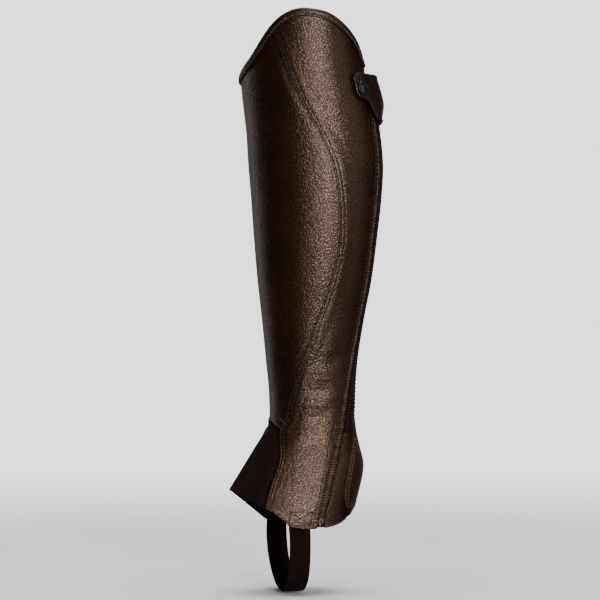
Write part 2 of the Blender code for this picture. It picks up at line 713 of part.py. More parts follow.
def zip_slider(finish):
    """Slider at the zip's top: two plates on a neck, and the bridge for its pull."""
    place = frame_at(leg_face, zip_line(SLIDER_HEIGHT), SLIDER_HEIGHT, SLIDER_LIFT)
    under = -(SLIDER_LIFT + LEATHER + GAP + TAPE + GAP)
    body = box_object(
        "zip_slider", (-PLATE_HALF_WIDTH, -PLATE_HALF_LENGTH, 0.0),
        (PLATE_HALF_WIDTH, PLATE_HALF_LENGTH, PLATE), 0.35,
    )
    body.data.materials.append(finish)
    parts = [
        box_object("slider_neck", (-NECK_HALF, -NECK_LENGTH / 2, under - 0.4),
                   (NECK_HALF, NECK_LENGTH / 2, 0.5)),
        box_object("slider_foot", (-FOOT_HALF_WIDTH, -FOOT_HALF_LENGTH, under - FOOT),
                   (FOOT_HALF_WIDTH, FOOT_HALF_LENGTH, under)),
        box_object("bridge_top", (-BRIDGE_HALF, BRIDGE_BACK, BRIDGE_UNDER),
                   (BRIDGE_HALF, BRIDGE_FRONT, BRIDGE_TOP)),
        box_object("bridge_back", (-BRIDGE_HALF, BRIDGE_BACK, 0.5),
                   (BRIDGE_HALF, BRIDGE_BACK + BRIDGE_LEG, BRIDGE_TOP - 0.3)),
        box_object("bridge_front", (-BRIDGE_HALF, BRIDGE_FRONT - BRIDGE_LEG, 0.5),
                   (BRIDGE_HALF, BRIDGE_FRONT, BRIDGE_TOP - 0.3)),
    ]
    for made in [body, *parts]:
        made.matrix_world = place
    joined(body, parts, "UNION")
    return body


def zip_pull(finish):
    """The pull, hanging from its bar, with its origin on the bar's axis."""
    place = frame_at(leg_face, zip_line(SLIDER_HEIGHT), SLIDER_HEIGHT, SLIDER_LIFT)
    pivot = place @ Matrix.Translation(Vector((0.0, PIVOT_ALONG, PIVOT_OUT)) * MM)
    body = box_object(
        "zip_pull", (-PULL_HALF_WIDTH, -PULL_LENGTH, -PULL_HALF_THICKNESS),
        (PULL_HALF_WIDTH, BAR_HALF, PULL_HALF_THICKNESS), 0.2,
    )
    body.data.materials.append(finish)
    window = box_object("pull_window", (-WINDOW_HALF, WINDOW_END, -2.0), (WINDOW_HALF, -BAR_HALF, 2.0))
    grip = box_object("pull_grip", (-GRIP_HALF, GRIP_END, -2.0), (GRIP_HALF, GRIP_START, 2.0))
    for made in (body, window, grip):
        made.matrix_world = pivot
    joined(body, [window, grip], "DIFFERENCE")
    return body


def side_of_leg(x, height, sign):
    """How far across the leg's outer face is at a place along it."""
    front, back, half, widest = (
        curve(SECTIONS[:, (0, column)], height) for column in range(1, 5)
    )
    middle = front + widest * (back - front)
    reach = np.where(x < middle, middle - front, back - middle)
    return sign * half * np.sqrt(1.0 - ((x - middle) / reach) ** 2)


def foot_strap(finish):
    """Elastic strap under the foot. Its ends are sewn inside the two side panels."""
    across = np.linspace(STRAP_FRONT, STRAP_BACK, 4)
    sewn = np.array([STRAP_SEWN_TOP, -307.0, -316.0])
    inset = LEATHER + GAP + 0.35
    over_tape = inset + TAPE + GAP
    run = np.array(STRAP_RUN)
    outside = []
    for height in sewn:
        outside.append([(x, side_of_leg(x, height, -1) + over_tape, height) for x in across])
    for y, height in run:
        outside.append([(x, y, height) for x in across])
    for height in sewn[::-1]:
        outside.append([(x, side_of_leg(x, height, 1) - inset, height) for x in across])
    outside = np.array(outside, float)
    along = np.gradient(outside, axis=0)
    wide = np.zeros_like(outside)
    wide[..., 0] = 1.0
    inward = np.cross(wide, along)
    inward /= np.linalg.norm(inward, axis=-1, keepdims=True)
    inside = outside + inward * STRAP
    made = closed_wall("foot_strap", outside, inside, finish)
    mesh = bmesh.new()
    mesh.from_mesh(made.data)
    bmesh.ops.recalc_face_normals(mesh, faces=mesh.faces)
    mesh.to_mesh(made.data)
    mesh.free()
    return made


def main():
    for old in list(bpy.data.objects):
        bpy.data.objects.remove(old, do_unlink=True)
    grained = material("grained_leather", (0.045, 0.024, 0.015), 0.42)
    smooth = material("smooth_leather", (0.060, 0.032, 0.021), 0.48)
    trim = material("binding_leather", (0.050, 0.027, 0.017), 0.45)
    stretch = material("elastic", (0.012, 0.008, 0.007), 0.85)
    woven = material("zip_tape", (0.016, 0.010, 0.008), 0.80)
    metal = material("dark_metal", (0.10, 0.09, 0.085), 0.35, 1.0)
    cap = material("snap_enamel", (0.008, 0.008, 0.009), 0.18, 0.0)
    front_panel(grained)
    outer_panel(grained)
    inner_panel(smooth)
    back_elastic(stretch)
    heel_patch(grained)
    front_gusset(stretch)
    zip_tape("zip_tape_outer", woven, -1)
    zip_tape("zip_tape_inner", woven, 1)
    top_binding(trim)
    snap_tab(grained)
    snap(cap, metal)
    zip_slider(metal)
    zip_pull(metal)
    foot_strap(stretch)


main()
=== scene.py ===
"""A leather half chap for the left leg, dressed for its photograph.

Each leather or elastic piece is a thin closed shell: a function of two parameters, the
angle round the leg and the height, worked out on a grid. The leg itself is a row of egg
shaped sections. Sewing, zip teeth and trim ride on the same surface.

+Z is up, the toe points to -X, the outer side faces -Y. Angles go round the leg in
degrees: 0 shin, 90 outer side, 180 calf, 270 inner side. Sizes are in millimetres until a
mesh is made.
"""

import math

import bmesh
import bpy
import numpy as np
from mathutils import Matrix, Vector


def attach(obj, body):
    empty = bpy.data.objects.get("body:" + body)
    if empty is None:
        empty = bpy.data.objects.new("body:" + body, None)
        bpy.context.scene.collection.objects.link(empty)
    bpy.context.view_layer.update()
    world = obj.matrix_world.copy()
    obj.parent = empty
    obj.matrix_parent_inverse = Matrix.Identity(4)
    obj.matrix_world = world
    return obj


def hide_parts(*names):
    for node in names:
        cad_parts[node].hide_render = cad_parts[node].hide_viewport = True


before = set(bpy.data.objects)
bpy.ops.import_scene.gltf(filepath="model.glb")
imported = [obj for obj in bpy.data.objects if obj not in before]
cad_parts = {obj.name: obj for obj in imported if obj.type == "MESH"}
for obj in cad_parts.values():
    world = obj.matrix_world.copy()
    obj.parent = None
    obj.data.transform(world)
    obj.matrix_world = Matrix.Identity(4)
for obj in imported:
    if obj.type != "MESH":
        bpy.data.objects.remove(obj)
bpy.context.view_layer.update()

MM = 0.001
# Thicknesses, and the gaps between pieces
LEATHER = 1.5
ELASTIC = 1.5
TAPE = 1.0
STRAP = 1.8
BINDING = 1.0
GAP = 0.3
BINDING_GAP = 0.4
# Laps: half the seam's opening, the lap's breadth and slope, its rise and how much less
# that is near the top, how thin it is pared, and how deep the gusset lies under it
SEAM_HALF = 0.2
LAP = 7.0
LAP_RAMP = 7.0
LAP_RISE = 0.62
LAP_PRESSED = 0.34
SKIVE = 0.75
LAP_CLEAR = 0.12
TUCK = LEATHER + GAP + 0.5
# Pull of a sewn row: breadth of its trough
TROUGH_BREADTH = 0.6
# Zip, top binding, snap and tab
ZIP_OPEN_HALF = 3.7
TAPE_WIDTH = 9.0
TAPE_FOOT = 0.8
ZIP_TOP = 80.0
BAND = 6.0
BAND_ROW = -BAND + 1.8
BINDING_LEAD = 13.0
BINDING_STEP = 5.0
BINDING_RISE = 0.35
SNAP_ANGLE = 122.0
SNAP_HEIGHT = 63.6
CAP_RADIUS = 6.15
CAP_ROLL = 0.55
CAP_CROWN = 1.7
STRAP_FRONT = -34.6
STRAP_SEWN = (-299.0, -307.0, -316.0)
STRAP_INSET = LEATHER + GAP + 0.35
# The fold down the front, the heel patch, the gusset and where the long seam opens
FOLD_ANGLE = 52.0
FOLD_ROUND = 0.12
HEEL_PATCH_TOP = -234.0
GUSSET_TOP = -219.0
SEAM_ENDS = -243.0

# Leg sections. Columns: height, shin line, calf line, half width, widest place as a share
# of the depth, sharpness of the fold down the front
SECTIONS = np.array([
    (-330, -106, 27.5, 44.5, 0.66, 1), (-320, -99.5, 30, 44.3, 0.66, 1),
    (-302, -89, 33.5, 43.3, 0.64, 1), (-286, -79.5, 38.3, 41.3, 0.62, 1),
    (-263, -65, 42.5, 38.3, 0.58, 1), (-245, -53.5, 38.5, 35.8, 0.55, 0.8),
    (-234, -46, 36, 34.6, 0.53, 0), (-224, -42, 34.5, 34, 0.52, 0), (-206, -41.5, 34.5, 34.5, 0.52, 0),
    (-171, -44.5, 37, 37, 0.53, 0), (-136, -48, 42.5, 41, 0.54, 0), (-100, -52, 49.5, 45.5, 0.55, 0),
    (-65, -55, 54, 49.5, 0.56, 0), (-30, -57.5, 58, 52.5, 0.56, 0), (0, -60, 59.5, 54, 0.56, 0),
    (30, -62, 56.5, 54.5, 0.56, 0), (57, -65.2, 51, 55.5, 0.56, 0), (75, -66.9, 45.5, 56, 0.56, 0),
    (105, -67.8, 40.5, 56.5, 0.56, 0), (145, -67.6, 35.5, 56.5, 0.56, 0),
])

# Large soft folds. Columns: angle, height, half length in degrees, half breadth, depth,
# fall in mm over each ten degrees
FOLDS = (
    (98, -172, 24, 8, 0.8, -1), (88, -196, 28, 9, 1.2, -1.5), (86, -219, 26, 8, 1.1, -1),
    (80, -243, 20, 8, 0.8, 0.5), (272, -182, 26, 9, 1, 1), (264, -207, 28, 9, 1.2, 1.5),
    (270, -233, 24, 8, 0.9, 1), (122, -12, 26, 9, 0.6, 1), (246, -20, 24, 9, 0.6, -1),
)

# Creases pressed into the leather. Columns: angle, height, half length and half breadth
# in mm, tilt in degrees from level, bow in mm, depth
CREASES = np.array([
    (92, -160, 13, 1.3, -8, 1, 0.22), (95, -166.5, 10, 1.1, -4, 0.5, 0.20),
    (88, -173, 15, 1.4, -10, 1.5, 0.30), (94, -178.5, 9, 1, 4, -0.5, 0.22),
    (86, -184, 16, 1.5, -6, 1.2, 0.34), (91, -190, 12, 1.2, -12, 0.8, 0.28),
    (84, -196.5, 17, 1.5, -3, 1.5, 0.36), (90, -202, 11, 1.1, 6, -0.8, 0.25),
    (82, -207, 15, 1.4, -9, 1, 0.34), (89, -213, 12, 1.2, -2, 0.6, 0.28),
    (80, -219, 17, 1.5, -7, 1.6, 0.36), (88, -224.5, 10, 1, 8, -0.5, 0.24),
    (79, -230, 15, 1.4, -5, 1.2, 0.33), (86, -236, 11, 1.2, -14, 0.8, 0.26),
    (78, -241.5, 14, 1.4, -18, 1.6, 0.32), (85, -247.5, 10, 1.1, -22, 1, 0.26),
    (76, -254, 13, 1.4, -34, 2, 0.30), (83, -260.5, 9, 1.1, -30, 1, 0.24),
    (70, -262, 14, 1.5, -62, 2, 0.18), (65, -268, 16, 1.6, -80, 1.5, 0.18),
    (61, -276, 15, 1.5, -88, -1, 0.15), (67, -281, 13, 1.5, -84, 1, 0.15),
    (72, -275, 11, 1.5, -70, 1.5, 0.15), (63.5, -291, 10, 1.4, -94, 0.6, 0.12),
    (71, -290, 9, 1.4, -80, 0.6, 0.12), (82, -299.2, 9.5, 1.3, -2, 0.4, 0.45),
    (60, 26, 15, 1.6, 62, 2, 0.22), (66, 40, 17, 1.5, 56, -2, 0.25), (74, 52, 18, 1.7, 44, 2, 0.28),
    (82, 60, 14, 1.4, 34, -1, 0.24), (70, 66, 20, 1.7, 52, 2.5, 0.28), (63, 58, 14, 1.4, 66, 1, 0.22),
    (86, 74, 15, 1.5, 28, 1.5, 0.26), (78, 82, 16, 1.5, 46, -1.5, 0.24), (68, 84, 13, 1.4, 60, 1, 0.20),
    (92, 88, 12, 1.4, 22, 1, 0.20), (96, 64, 14, 1.5, 16, 1.2, 0.22), (104, 56, 10, 1.3, 6, 0.5, 0.16),
    (112, -12, 18, 2, 3, 1, 0.22), (76, -28, 16, 2, -4, -1, 0.16), (60, -30, 15, 1.8, 2, 1, 0.14),
    (118, 20, 12, 1.6, -5, 0.6, 0.14), (24, -206, 15, 1.6, 3, 1, 0.25),
    (14, -195, 12, 1.4, -4, 0.6, 0.20), (270, -168, 16, 1.6, 6, 1.2, 0.30),
    (262, -178, 18, 1.6, -4, 1.5, 0.34), (276, -188, 15, 1.4, 8, -1, 0.30),
    (264, -198, 20, 1.7, 4, 2, 0.38), (258, -209, 14, 1.4, -6, 1, 0.30),
    (272, -215, 18, 1.6, 10, 1.4, 0.36), (262, -226, 16, 1.5, 5, -1.2, 0.32),
    (276, -236, 15, 1.5, 16, 1.6, 0.30), (200, -190, 16, 1.6, 3, 1, 0.30),
    (206, -203, 18, 1.7, -4, -1.4, 0.36), (198, -216, 15, 1.5, 6, 1, 0.32),
    (210, -228, 13, 1.4, -8, 1, 0.26), (240, 34, 18, 1.9, -14, 1.5, 0.20),
    (284, 48, 20, 2, -24, 2, 0.22), (262, 22, 16, 1.8, -10, -1.2, 0.18),
    (300, -120, 16, 1.8, 12, 1, 0.18),
])

# Edges and seams. Columns: where, value
TOP_EDGE = (
    (-213, 80), (-200, 77), (-180, 75), (-150, 74), (-110, 74.5), (-60, 75.6), (-30, 75.8),
    (-14, 76.4), (-5, 77.8), (3, 80.8), (12, 85.4), (21, 91.1), (28, 97.6), (34, 104.5),
    (39.5, 110.6), (44.5, 116.1), (53.5, 123.6), (62.5, 128.3), (71, 130.3), (81, 129.8),
    (91, 128.1), (103.5, 123.7), (116, 116.7), (123.5, 111.6), (129.5, 107), (134.5, 102),
    (139, 96), (143.5, 88.6), (151, 79.5), (162, 76.5), (180, 75), (210, 74), (250, 74.5),
    (300, 75.6), (330, 75.8),
)
HEM = (
    (53.5, -298), (60, -301.5), (67, -306.5), (72, -311), (76, -314.5), (80, -315.5), (97, -316),
    (110, -315), (124.5, -312.5), (133.5, -310), (143.5, -305.5), (160, -301.5), (180, -300),
    (200, -301.5), (216.5, -305.5), (235.5, -312.5), (250, -315), (264, -316), (276, -316.3),
    (283.5, -315.2), (289, -311.2), (293, -307.8), (300, -302.6), (306.5, -298.6),
)
OUTER_SEAM = (
    (-320, 57), (-298, 53.5), (-283, 51.5), (-271, 50), (-257, 48.5), (-249, 44.5), (-240, 38),
    (-232, 34), (-221, 38), (-210, 42), (-190, 51.5), (-172, 61), (-155, 70), (-143, 74),
    (-129, 79.5), (-110, 85), (-91, 88.8), (-67, 91.8), (-50, 90.8), (-24, 87.8), (2, 83), (21, 77),
    (32, 72.5), (50, 65.5), (74, 58), (92, 52.5), (112, 45), (125, 38),
)
INNER_SEAM = (
    (-320, 303), (-298, 306.5), (-283, 308.5), (-271, 310), (-257, 311.5), (-249, 315.5),
    (-240, 321), (-232, 324), (-215, 324.5), (-150, 325), (-60, 327), (0, 328), (100, 329),
)
ZIP_LINE = (
    (-320, 97), (-302, 96.5), (-290, 97), (-275, 98), (-262, 101), (-249, 107), (-232, 117),
    (-214, 124), (-198, 129), (-180, 135), (-165, 138.5), (-136, 142), (-105, 142.5), (-66, 141.5),
    (-40, 142), (-14, 143.5), (10, 143), (33, 143), (48, 145), (58, 146.3), (74, 147.2), (86, 150),
    (96, 153), (110, 156),
)
HEEL_LINE = (
    (-312, 147), (-303.5, 134), (-295, 124), (-285.5, 119.5), (-273.5, 118.5), (-260.5, 121.5),
    (-249.5, 129), (-241, 136), (-221, 149), (-204, 161), (-185, 169), (-160, 171.5), (-60, 172),
    (90, 172),
)
SHIN_BOTTOM = (
    (-40, -232.5), (-30, -230.5), (-12, -225.5), (0, -224), (12, -225.5), (26, -229.5),
    (38, -232.5),
)
GUSSET_BOTTOM = (
    (-62, -300), (-50, -296.9), (-42, -294.4), (-31, -291.2), (-17.5, -287.4), (-8, -285.2),
    (0, -284.4), (8, -285.4), (17.5, -287.8), (31, -291.6), (42, -294.8), (50, -297.2),
    (62, -300.5),
)
TAB_LOWER = (
    (115, 58.5), (117, 56), (121, 54.3), (125, 53), (128, 50.5), (131, 45), (134.5, 39.5),
    (140, 36.5), (150, 35.5), (196, 35),
)
TAB_UPPER = (
    (115, 73), (117, 75.3), (121, 76.8), (128, 77.3), (140, 76.3), (150, 75.8), (163, 74.8),
    (171, 71), (178, 66.5), (196, 65.5),
)
TAB_END = 115
TAB_ROOT = 196
# Columns: angle, how far the tab's upper part and its lower edge stand off the leg
TAB_STANDOFF = np.array([
    (115, 2.4, 2.2), (119, 3.1, 2.9), (124, 3.4, 3.2), (129, 3.5, 3.3),
    (133, 3.8, 3.4), (137, 4.7, 3.7), (142, 6.3, 4), (147, 6.9, 3.7),
    (152, 6.7, 2.6), (157, 5.9, 1.4), (163, 4.6, 0.8), (170, 3, 0.6),
    (180, 1.4, 0.6), (186, 0.6, 0.5), (196, 0.5, 0.5),
])
TAB_HIGH = 53
TAB_LOW = 35
STRAP_RUN = (
    (-41.8, -324), (-42, -335), (-40.8, -345), (-38.2, -354), (-34.5, -361), (-29, -366.5),
    (-21, -371), (-12, -373), (-4, -372.4), (4, -370), (12, -366.6), (19, -362.2), (26, -356.4),
    (32, -349.5), (37.2, -341.5), (40.3, -333), (41.8, -324),
)

# Sewing: stitch length, thread radius, half a stitch as a share of its length, rings in
# it, its arch, how deep its ends are sunk and its lean
PITCH = 3.6
THREAD = 0.38
STITCH_HALF = 0.41
STITCH_RINGS = 7
ARCH = 0.50
SUNK = 0.08
LEAN = 0.10
# Trough under a row, and rows beside an edge
TROUGH = 0.17
ROW_NEAR = 1.7
ROW_FAR = 4.7
NEAR = ROW_NEAR + SEAM_HALF
FAR = ROW_FAR + SEAM_HALF
ZIP_NEAR = ROW_NEAR + ZIP_OPEN_HALF
ZIP_FAR = ROW_FAR + ZIP_OPEN_HALF
TOOTH_PITCH = 2.5
# Creases: share of the listed depth, the ridges' height and distance, and how far from
# the zip they begin
CREASE_SHARE = 0.36
RIDGE = 0.45
RIDGE_AWAY = 1.9
STIFF = 9.0
# Degrees that the scale round the leg is averaged over
AVERAGED = 5.0
STRAP_BOX = ((72.8, -312.6), (87.0, -301.5))
TACK = ((31.0, -222.8), (40.0, -226.8))
KNOT = ((5.8, -228.5), (8.0, -235.5))
# Grid lines beside a plain edge and beside a sewn one
RIM = (0.0, 0.1, 0.35, 0.75, 1.35)
SEWN = (0.0, 0.1, 0.35, 0.75, 1.2, 1.7, 2.2, 3.2, 4.2, 4.7, 5.2, 6.2)

# Light: turn of the photo's direction, the sky in front and behind, and the backdrop
SWING = math.radians(15.0)
WORLD_FRONT = 0.03
WORLD_BEHIND = 0.45
BACKDROP = 2.1
# Columns: name, across, behind, height, size, watts
LIGHTS = (
    ("low_softbox", 0.80, -2.45, -0.02, (0.42, 0.60), 58.0),
    ("middle_softbox", 0.42, -2.4, 0.62, (0.40, 0.66), 9.0),
    ("high_softbox", 0.70, -2.3, 1.35, (0.36, 0.75), 5.0),
    ("left_strip", -2.0, 1.4, 0.1, (0.35, 2.0), 7.0),
    ("right_fill", 2.4, -0.9, 0.3, (1.4, 2.0), 10.0),
    ("top_softbox", 0.0, 0.3, 3.4, (3.0, 3.0), 205.0),
)
# Stage and camera, in metres: floor, backdrop, where the lights aim, and the camera's
# place across, in front and up
FLOOR_HEIGHT = -0.3745
FLOOR_REACH = 1.7
FLOOR_SIDES = 96
BACKDROP_RADIUS = 8.0
AIM = -0.12
CAMERA = (-0.0139, 2.2, -0.1188)
LENS = 150.0


# The leg's surface

def curve(rows, at):
    """A smooth line through (where, value) rows: a cubic in each span, its slopes taken
    from the neighbours."""
    rows = np.array(sorted(tuple(row) for row in rows), float)
    where, value = rows[:, 0], rows[:, 1]
    slope = np.gradient(value, where)
    at = np.clip(np.asarray(at, float), where[0], where[-1])
    left = np.clip(np.searchsorted(where, at) - 1, 0, len(where) - 2)
    span = where[left + 1] - where[left]
    t = (at - where[left]) / span
    start = (1 + 2 * t) * (1 - t) ** 2 * value[left] + t * (1 - t) ** 2 * span * slope[left]
    end = t * t * (3 - 2 * t) * value[left + 1] + t * t * (t - 1) * span * slope[left + 1]
    return start + end


def line(rows, turned=0.0):
    """The smooth line through a table, as a function."""
    return lambda at: curve(rows, at) + turned


outer_seam, inner_seam, zip_line, heel_line = map(line, (OUTER_SEAM, INNER_SEAM, ZIP_LINE, HEEL_LINE))
hem, top_edge, shin_bottom, gusset_bottom = map(line, (HEM, TOP_EDGE, SHIN_BOTTOM, GUSSET_BOTTOM))
tab_lower, tab_upper = line(TAB_LOWER), line(TAB_UPPER)
inner_seam_left = line(INNER_SEAM, -360.0)
# The top binding runs from one side of the zip round the shin to the other
BINDING_ENDS = (float(zip_line(top_edge(146.0))) - 360.0 + 6.5, float(zip_line(86.0)) - 4.4)


def level(value):
    """A border at one angle or height all along."""
    return lambda angle: value + 0.0 * angle


def ease(value):
    """0 to 1 with soft ends: three t squared less two t cubed."""
    value = np.clip(value, 0.0, 1.0)
    return value * value * (3 - 2 * value)


def bell(value):
    """e to the power of minus the value squared."""
    return np.exp(-(value ** 2))


def wrapped(angle):
    """An angle brought to between -180 and 180 degrees."""
    return (np.asarray(angle) + 180.0) % 360.0 - 180.0


def section(height):
    """A leg section's middle, shin line, calf line, half width and sharpness."""
    front, back, half, widest, sharp = (
        curve(SECTIONS[:, (0, column)], height) for column in range(1, 6)
    )
    return front + widest * (back - front), front, back, half, sharp


def egg(angle, height):
    """Plain leg: two half ellipses a section, and a rounded V in front of the instep."""
    middle, front, back, half, sharp = section(height)
    turn = np.radians(angle)
    reach = np.where(np.cos(turn) > 0, middle - front, back - middle)
    x = middle - reach * np.cos(turn)
    y = -half * np.sin(turn)
    side = wrapped(angle)
    share = np.clip(np.abs(side) / FOLD_ANGLE, 0.0, 1.0)
    edge = math.radians(FOLD_ANGLE)
    run = (np.hypot(share, FOLD_ROUND) - FOLD_ROUND) / (math.hypot(1.0, FOLD_ROUND) - FOLD_ROUND)
    wing_x = front + (middle - front) * (1.0 - math.cos(edge)) * run
    wing_y = -half * math.sin(edge) * share * np.sign(side)
    sharp = np.where(share < 1.0, np.clip(sharp, 0.0, 1.0), 0.0)
    return np.stack([x + (wing_x - x) * sharp, y + (wing_y - y) * sharp, height + 0.0 * x], -1)


def around(angle, height):
    """Millimetres of surface in one degree round the leg, averaged over a few degrees
    because the two half ellipses meet at unlike rates."""
    ahead, behind = egg(angle + AVERAGED, height), egg(angle - AVERAGED, height)
    return np.linalg.norm(ahead - behind, axis=-1) / (2.0 * AVERAGED)


def unit(vectors):
    """Vectors divided by their lengths."""
    return vectors / np.maximum(np.linalg.norm(vectors, axis=-1, keepdims=True), 1e-9)


def normal(angle, height):
    """Cross product of the steps round the leg and up it, at unit length."""
    along = egg(angle + 1.0, height) - egg(angle - 1.0, height)
    up = egg(angle, height + 1.0) - egg(angle, height - 1.0)
    return unit(np.cross(along, up))


def folds(angle, height):
    """Sum of troughs, each a bell curve across its line, fading out at its ends."""
    lift = np.zeros(np.broadcast(angle, height).shape)
    for middle, at, length, breadth, depth, fall in FOLDS:
        away = wrapped(angle - middle)
        drop = height - at + fall * away / 10.0
        lift -= depth * bell(drop / breadth) * ease(1.0 - np.abs(away) / length)
    return lift


def creases(angle, height):
    """Sum of bowed creases: a bell-shaped trough between two lower ridges. They fade out
    where the leather is stiff, beside the sewn zip."""
    lift = np.zeros(np.broadcast(angle, height).shape)
    scale = around(angle, height)
    for middle, at, length, breadth, tilt, bow, depth in CREASES:
        across = wrapped(angle - middle) * scale
        up = height - at
        lean = math.radians(tilt)
        along = across * math.cos(lean) + up * math.sin(lean)
        away = up * math.cos(lean) - across * math.sin(lean) - bow * ((along / length) ** 2 - 0.5)
        ridges = RIDGE * bell((np.abs(away) - RIDGE_AWAY * breadth) / breadth)
        shape = ridges - bell(away / breadth)
        lift += CREASE_SHARE * depth * shape * ease(1.0 - np.abs(along) / length)
    return lift * ease((np.abs(from_edge(angle, height, zip_line)) - STIFF) / STIFF)


def surface(angle, height, lift):
    """Point of the leg's surface with its large folds, moved out by lift."""
    angle, height, lift = np.broadcast_arrays(angle, height, lift)
    moved = lift + folds(angle, height)
    return egg(angle, height) + normal(angle, height) * moved[..., None]


def from_edge(angle, height, seam):
    """Millimetres round the leg from a seam, positive towards larger angles."""
    return (angle - seam(height)) * around(angle, height)


def step_from(angles, heights, distance):
    """Angles and heights at a distance square to an edge."""
    scale = around(angles, heights)
    rise = np.gradient(heights) / (np.gradient(angles) * scale)
    length = np.hypot(1.0, rise)
    return angles - rise / length * distance / scale, heights + distance / length


# Where each piece lies: how far its outer face stands off the leg

def upper_lift(distance, height):
    """A lapped edge stands proud, pressed flatter near the top, and slopes down beyond."""
    rise = LAP_RISE - LAP_PRESSED * ease((height - 10.0) / 60.0)
    return rise * (1.0 - ease((distance - LAP) / LAP_RAMP))


def skived(distance):
    """Thickness of a lapped edge, pared thin where it is sewn down."""
    return LEATHER - SKIVE * (1.0 - ease(distance / (LAP - 1.0)))


def lapped(seam, part):
    """Lift and thickness of a piece whose edge laps over its neighbour along a seam,
    at the heights where part is 1."""
    def lift(angle, height):
        return upper_lift(from_edge(angle, height, seam), height) * part(height)

    def thickness(angle, height):
        return LEATHER - (LEATHER - skived(from_edge(angle, height, seam))) * part(height)

    return lift, thickness


def tucked(seam):
    """Lift of the piece that runs on under a lap, just clear of the pared edge."""
    def lift(angle, height):
        distance = from_edge(angle, height, seam)
        over = np.clip(distance, 0.0, None)
        beneath = upper_lift(over, height) - skived(over) - LAP_CLEAR
        return beneath * ease(distance / LAP_RAMP + 1.0)

    return lift


def above_wing(height):
    """0 below the place where the long seam opens round the wing, 1 above it."""
    return ease((height - SEAM_ENDS) / 10.0)


def at_heel(height):
    """1 beside the heel patch, 0 above it."""
    return 1.0 - ease((height - HEEL_PATCH_TOP - 2.0) / 14.0)


outer_lift, outer_thickness = lapped(outer_seam, above_wing)
inner_lift, inner_thickness = lapped(heel_line, at_heel)
front_lift, heel_lift = tucked(outer_seam), tucked(heel_line)


def gusset_lift(angle, height):
    """Flush with the leg, and sunk where the wings run on under the leather's edges."""
    left = -from_edge(angle, height, inner_seam_left)
    right = from_edge(angle, height, outer_seam)
    to_top = height - shin_bottom(angle)
    beneath = ease(np.maximum(np.maximum(left, right), to_top) / LAP_RAMP + 1.0)
    return -TUCK * beneath - ease(right / LAP_RAMP + 1.0) * above_wing(height)


def flush(angle, height):
    """The plain leg, with nothing added."""
    return 0.0 * angle


def tape_face(angle, height):
    """The zip tapes' outer face, a gap under the leather."""
    return 0.0 * angle - LEATHER - GAP


def binding_lap(angle, run_out):
    """0 to 1 where the top binding steps out over the long seam's lap."""
    over = from_edge(angle, top_edge(angle), outer_seam)
    lead = ease((over + BINDING_LEAD) / BINDING_STEP)
    return lead * (1.0 - ease((over - LAP - run_out - 2.0) / BINDING_STEP))


# Grids and meshes

def spread(first, count, last):
    """Weights of both ends and an offset in mm for a row of grid lines: fixed distances
    at each end, even shares between."""
    share = np.linspace(0.0, 1.0, count + 2)[1:-1]
    low = np.concatenate([np.ones(len(first)), 1.0 - share, np.zeros(len(last))])
    offset = np.concatenate([
        np.array(first, float), (1.0 - share) * first[-1] - share * last[-1],
        -np.array(last[::-1], float),
    ])
    return low, 1.0 - low, offset


def shifted(marks, distance):
    """Grid lines moved by a distance."""
    return tuple(mark + distance for mark in marks)


def lattice(left, right, bottom, top, across, up):
    """Angles and heights of a grid between two seams and two edges. Each line settles on
    the others in a few rounds."""
    height = np.zeros((len(up[0]), len(across[0])))
    angle = np.zeros(height.shape)
    wide = [np.asarray(part)[None, :] for part in across]
    tall = [np.asarray(part)[:, None] for part in up]
    for _ in range(30):
        scale = around(angle, height)
        angle = wide[0] * left(height) + wide[1] * right(height) + wide[2] / scale
        want = tall[0] * bottom(angle[:1]) + tall[1] * top(angle[-1:]) + tall[2]
        height = 0.5 * height + 0.5 * want
    return angle, height


def edge_distance(angle, height):
    """Least distance in mm of each grid point from the grid's four borders."""
    scale = around(angle, height)
    sides = np.minimum(angle - angle[:, :1], angle[:, -1:] - angle) * scale
    ends = []
    for border in (height[:1], height[-1:]):
        slope = np.gradient(border[0]) / np.maximum(np.gradient(angle[0]) * scale[0], 0.01)
        slope = np.clip(slope, -1.6, 1.6)
        ends.append(np.abs(height - border) / np.hypot(1.0, slope)[None, :])
    return np.clip(np.minimum(sides, np.minimum(*ends)), 0.0, None)


def placed(name, data):
    """An object of the scene, unturned at the origin."""
    made = bpy.data.objects.new(name, data)
    bpy.context.scene.collection.objects.link(made)
    return made


def add_mesh(name, points, faces, finish, layers=None, uv=None, hidden_from=None):
    """A smooth mesh from points in mm. layers are point attributes of three weights. With
    two finishes, the faces from number hidden_from on get the second."""
    mesh = bpy.data.meshes.new(name)
    mesh.from_pydata((np.asarray(points) * MM).tolist(), [], faces)
    for one in (finish if isinstance(finish, (list, tuple)) else [finish]):
        mesh.materials.append(one)
    if len(mesh.materials) > 1:
        second = (np.arange(len(mesh.polygons)) >= hidden_from).astype(np.int32)
        mesh.polygons.foreach_set("material_index", second)
    mesh.polygons.foreach_set("use_smooth", np.ones(len(mesh.polygons), bool))
    if uv is not None:
        corner = np.empty(len(mesh.loops), np.int32)
        mesh.loops.foreach_get("vertex_index", corner)
        laid = mesh.uv_layers.new(name="laid_flat")
        laid.data.foreach_set("uv", np.ascontiguousarray(uv[corner], np.float32).ravel())
    if layers is not None:
        held = mesh.attributes.new("relief", "FLOAT_COLOR", "POINT")
        four = np.concatenate([layers, np.ones((len(layers), 1))], 1)
        held.data.foreach_set("color", np.ascontiguousarray(four, np.float32).ravel())
    mesh.validate()
    return placed(name, mesh)


def round_edge(distance, thickness):
    """Half thickness that closes to nothing at a border, along a quarter circle."""
    reach = np.clip(distance / (0.5 * thickness), 0.0, 1.0)
    return 0.5 * thickness * np.sqrt(np.clip(1.0 - (1.0 - reach) ** 2, 0.0, 1.0))


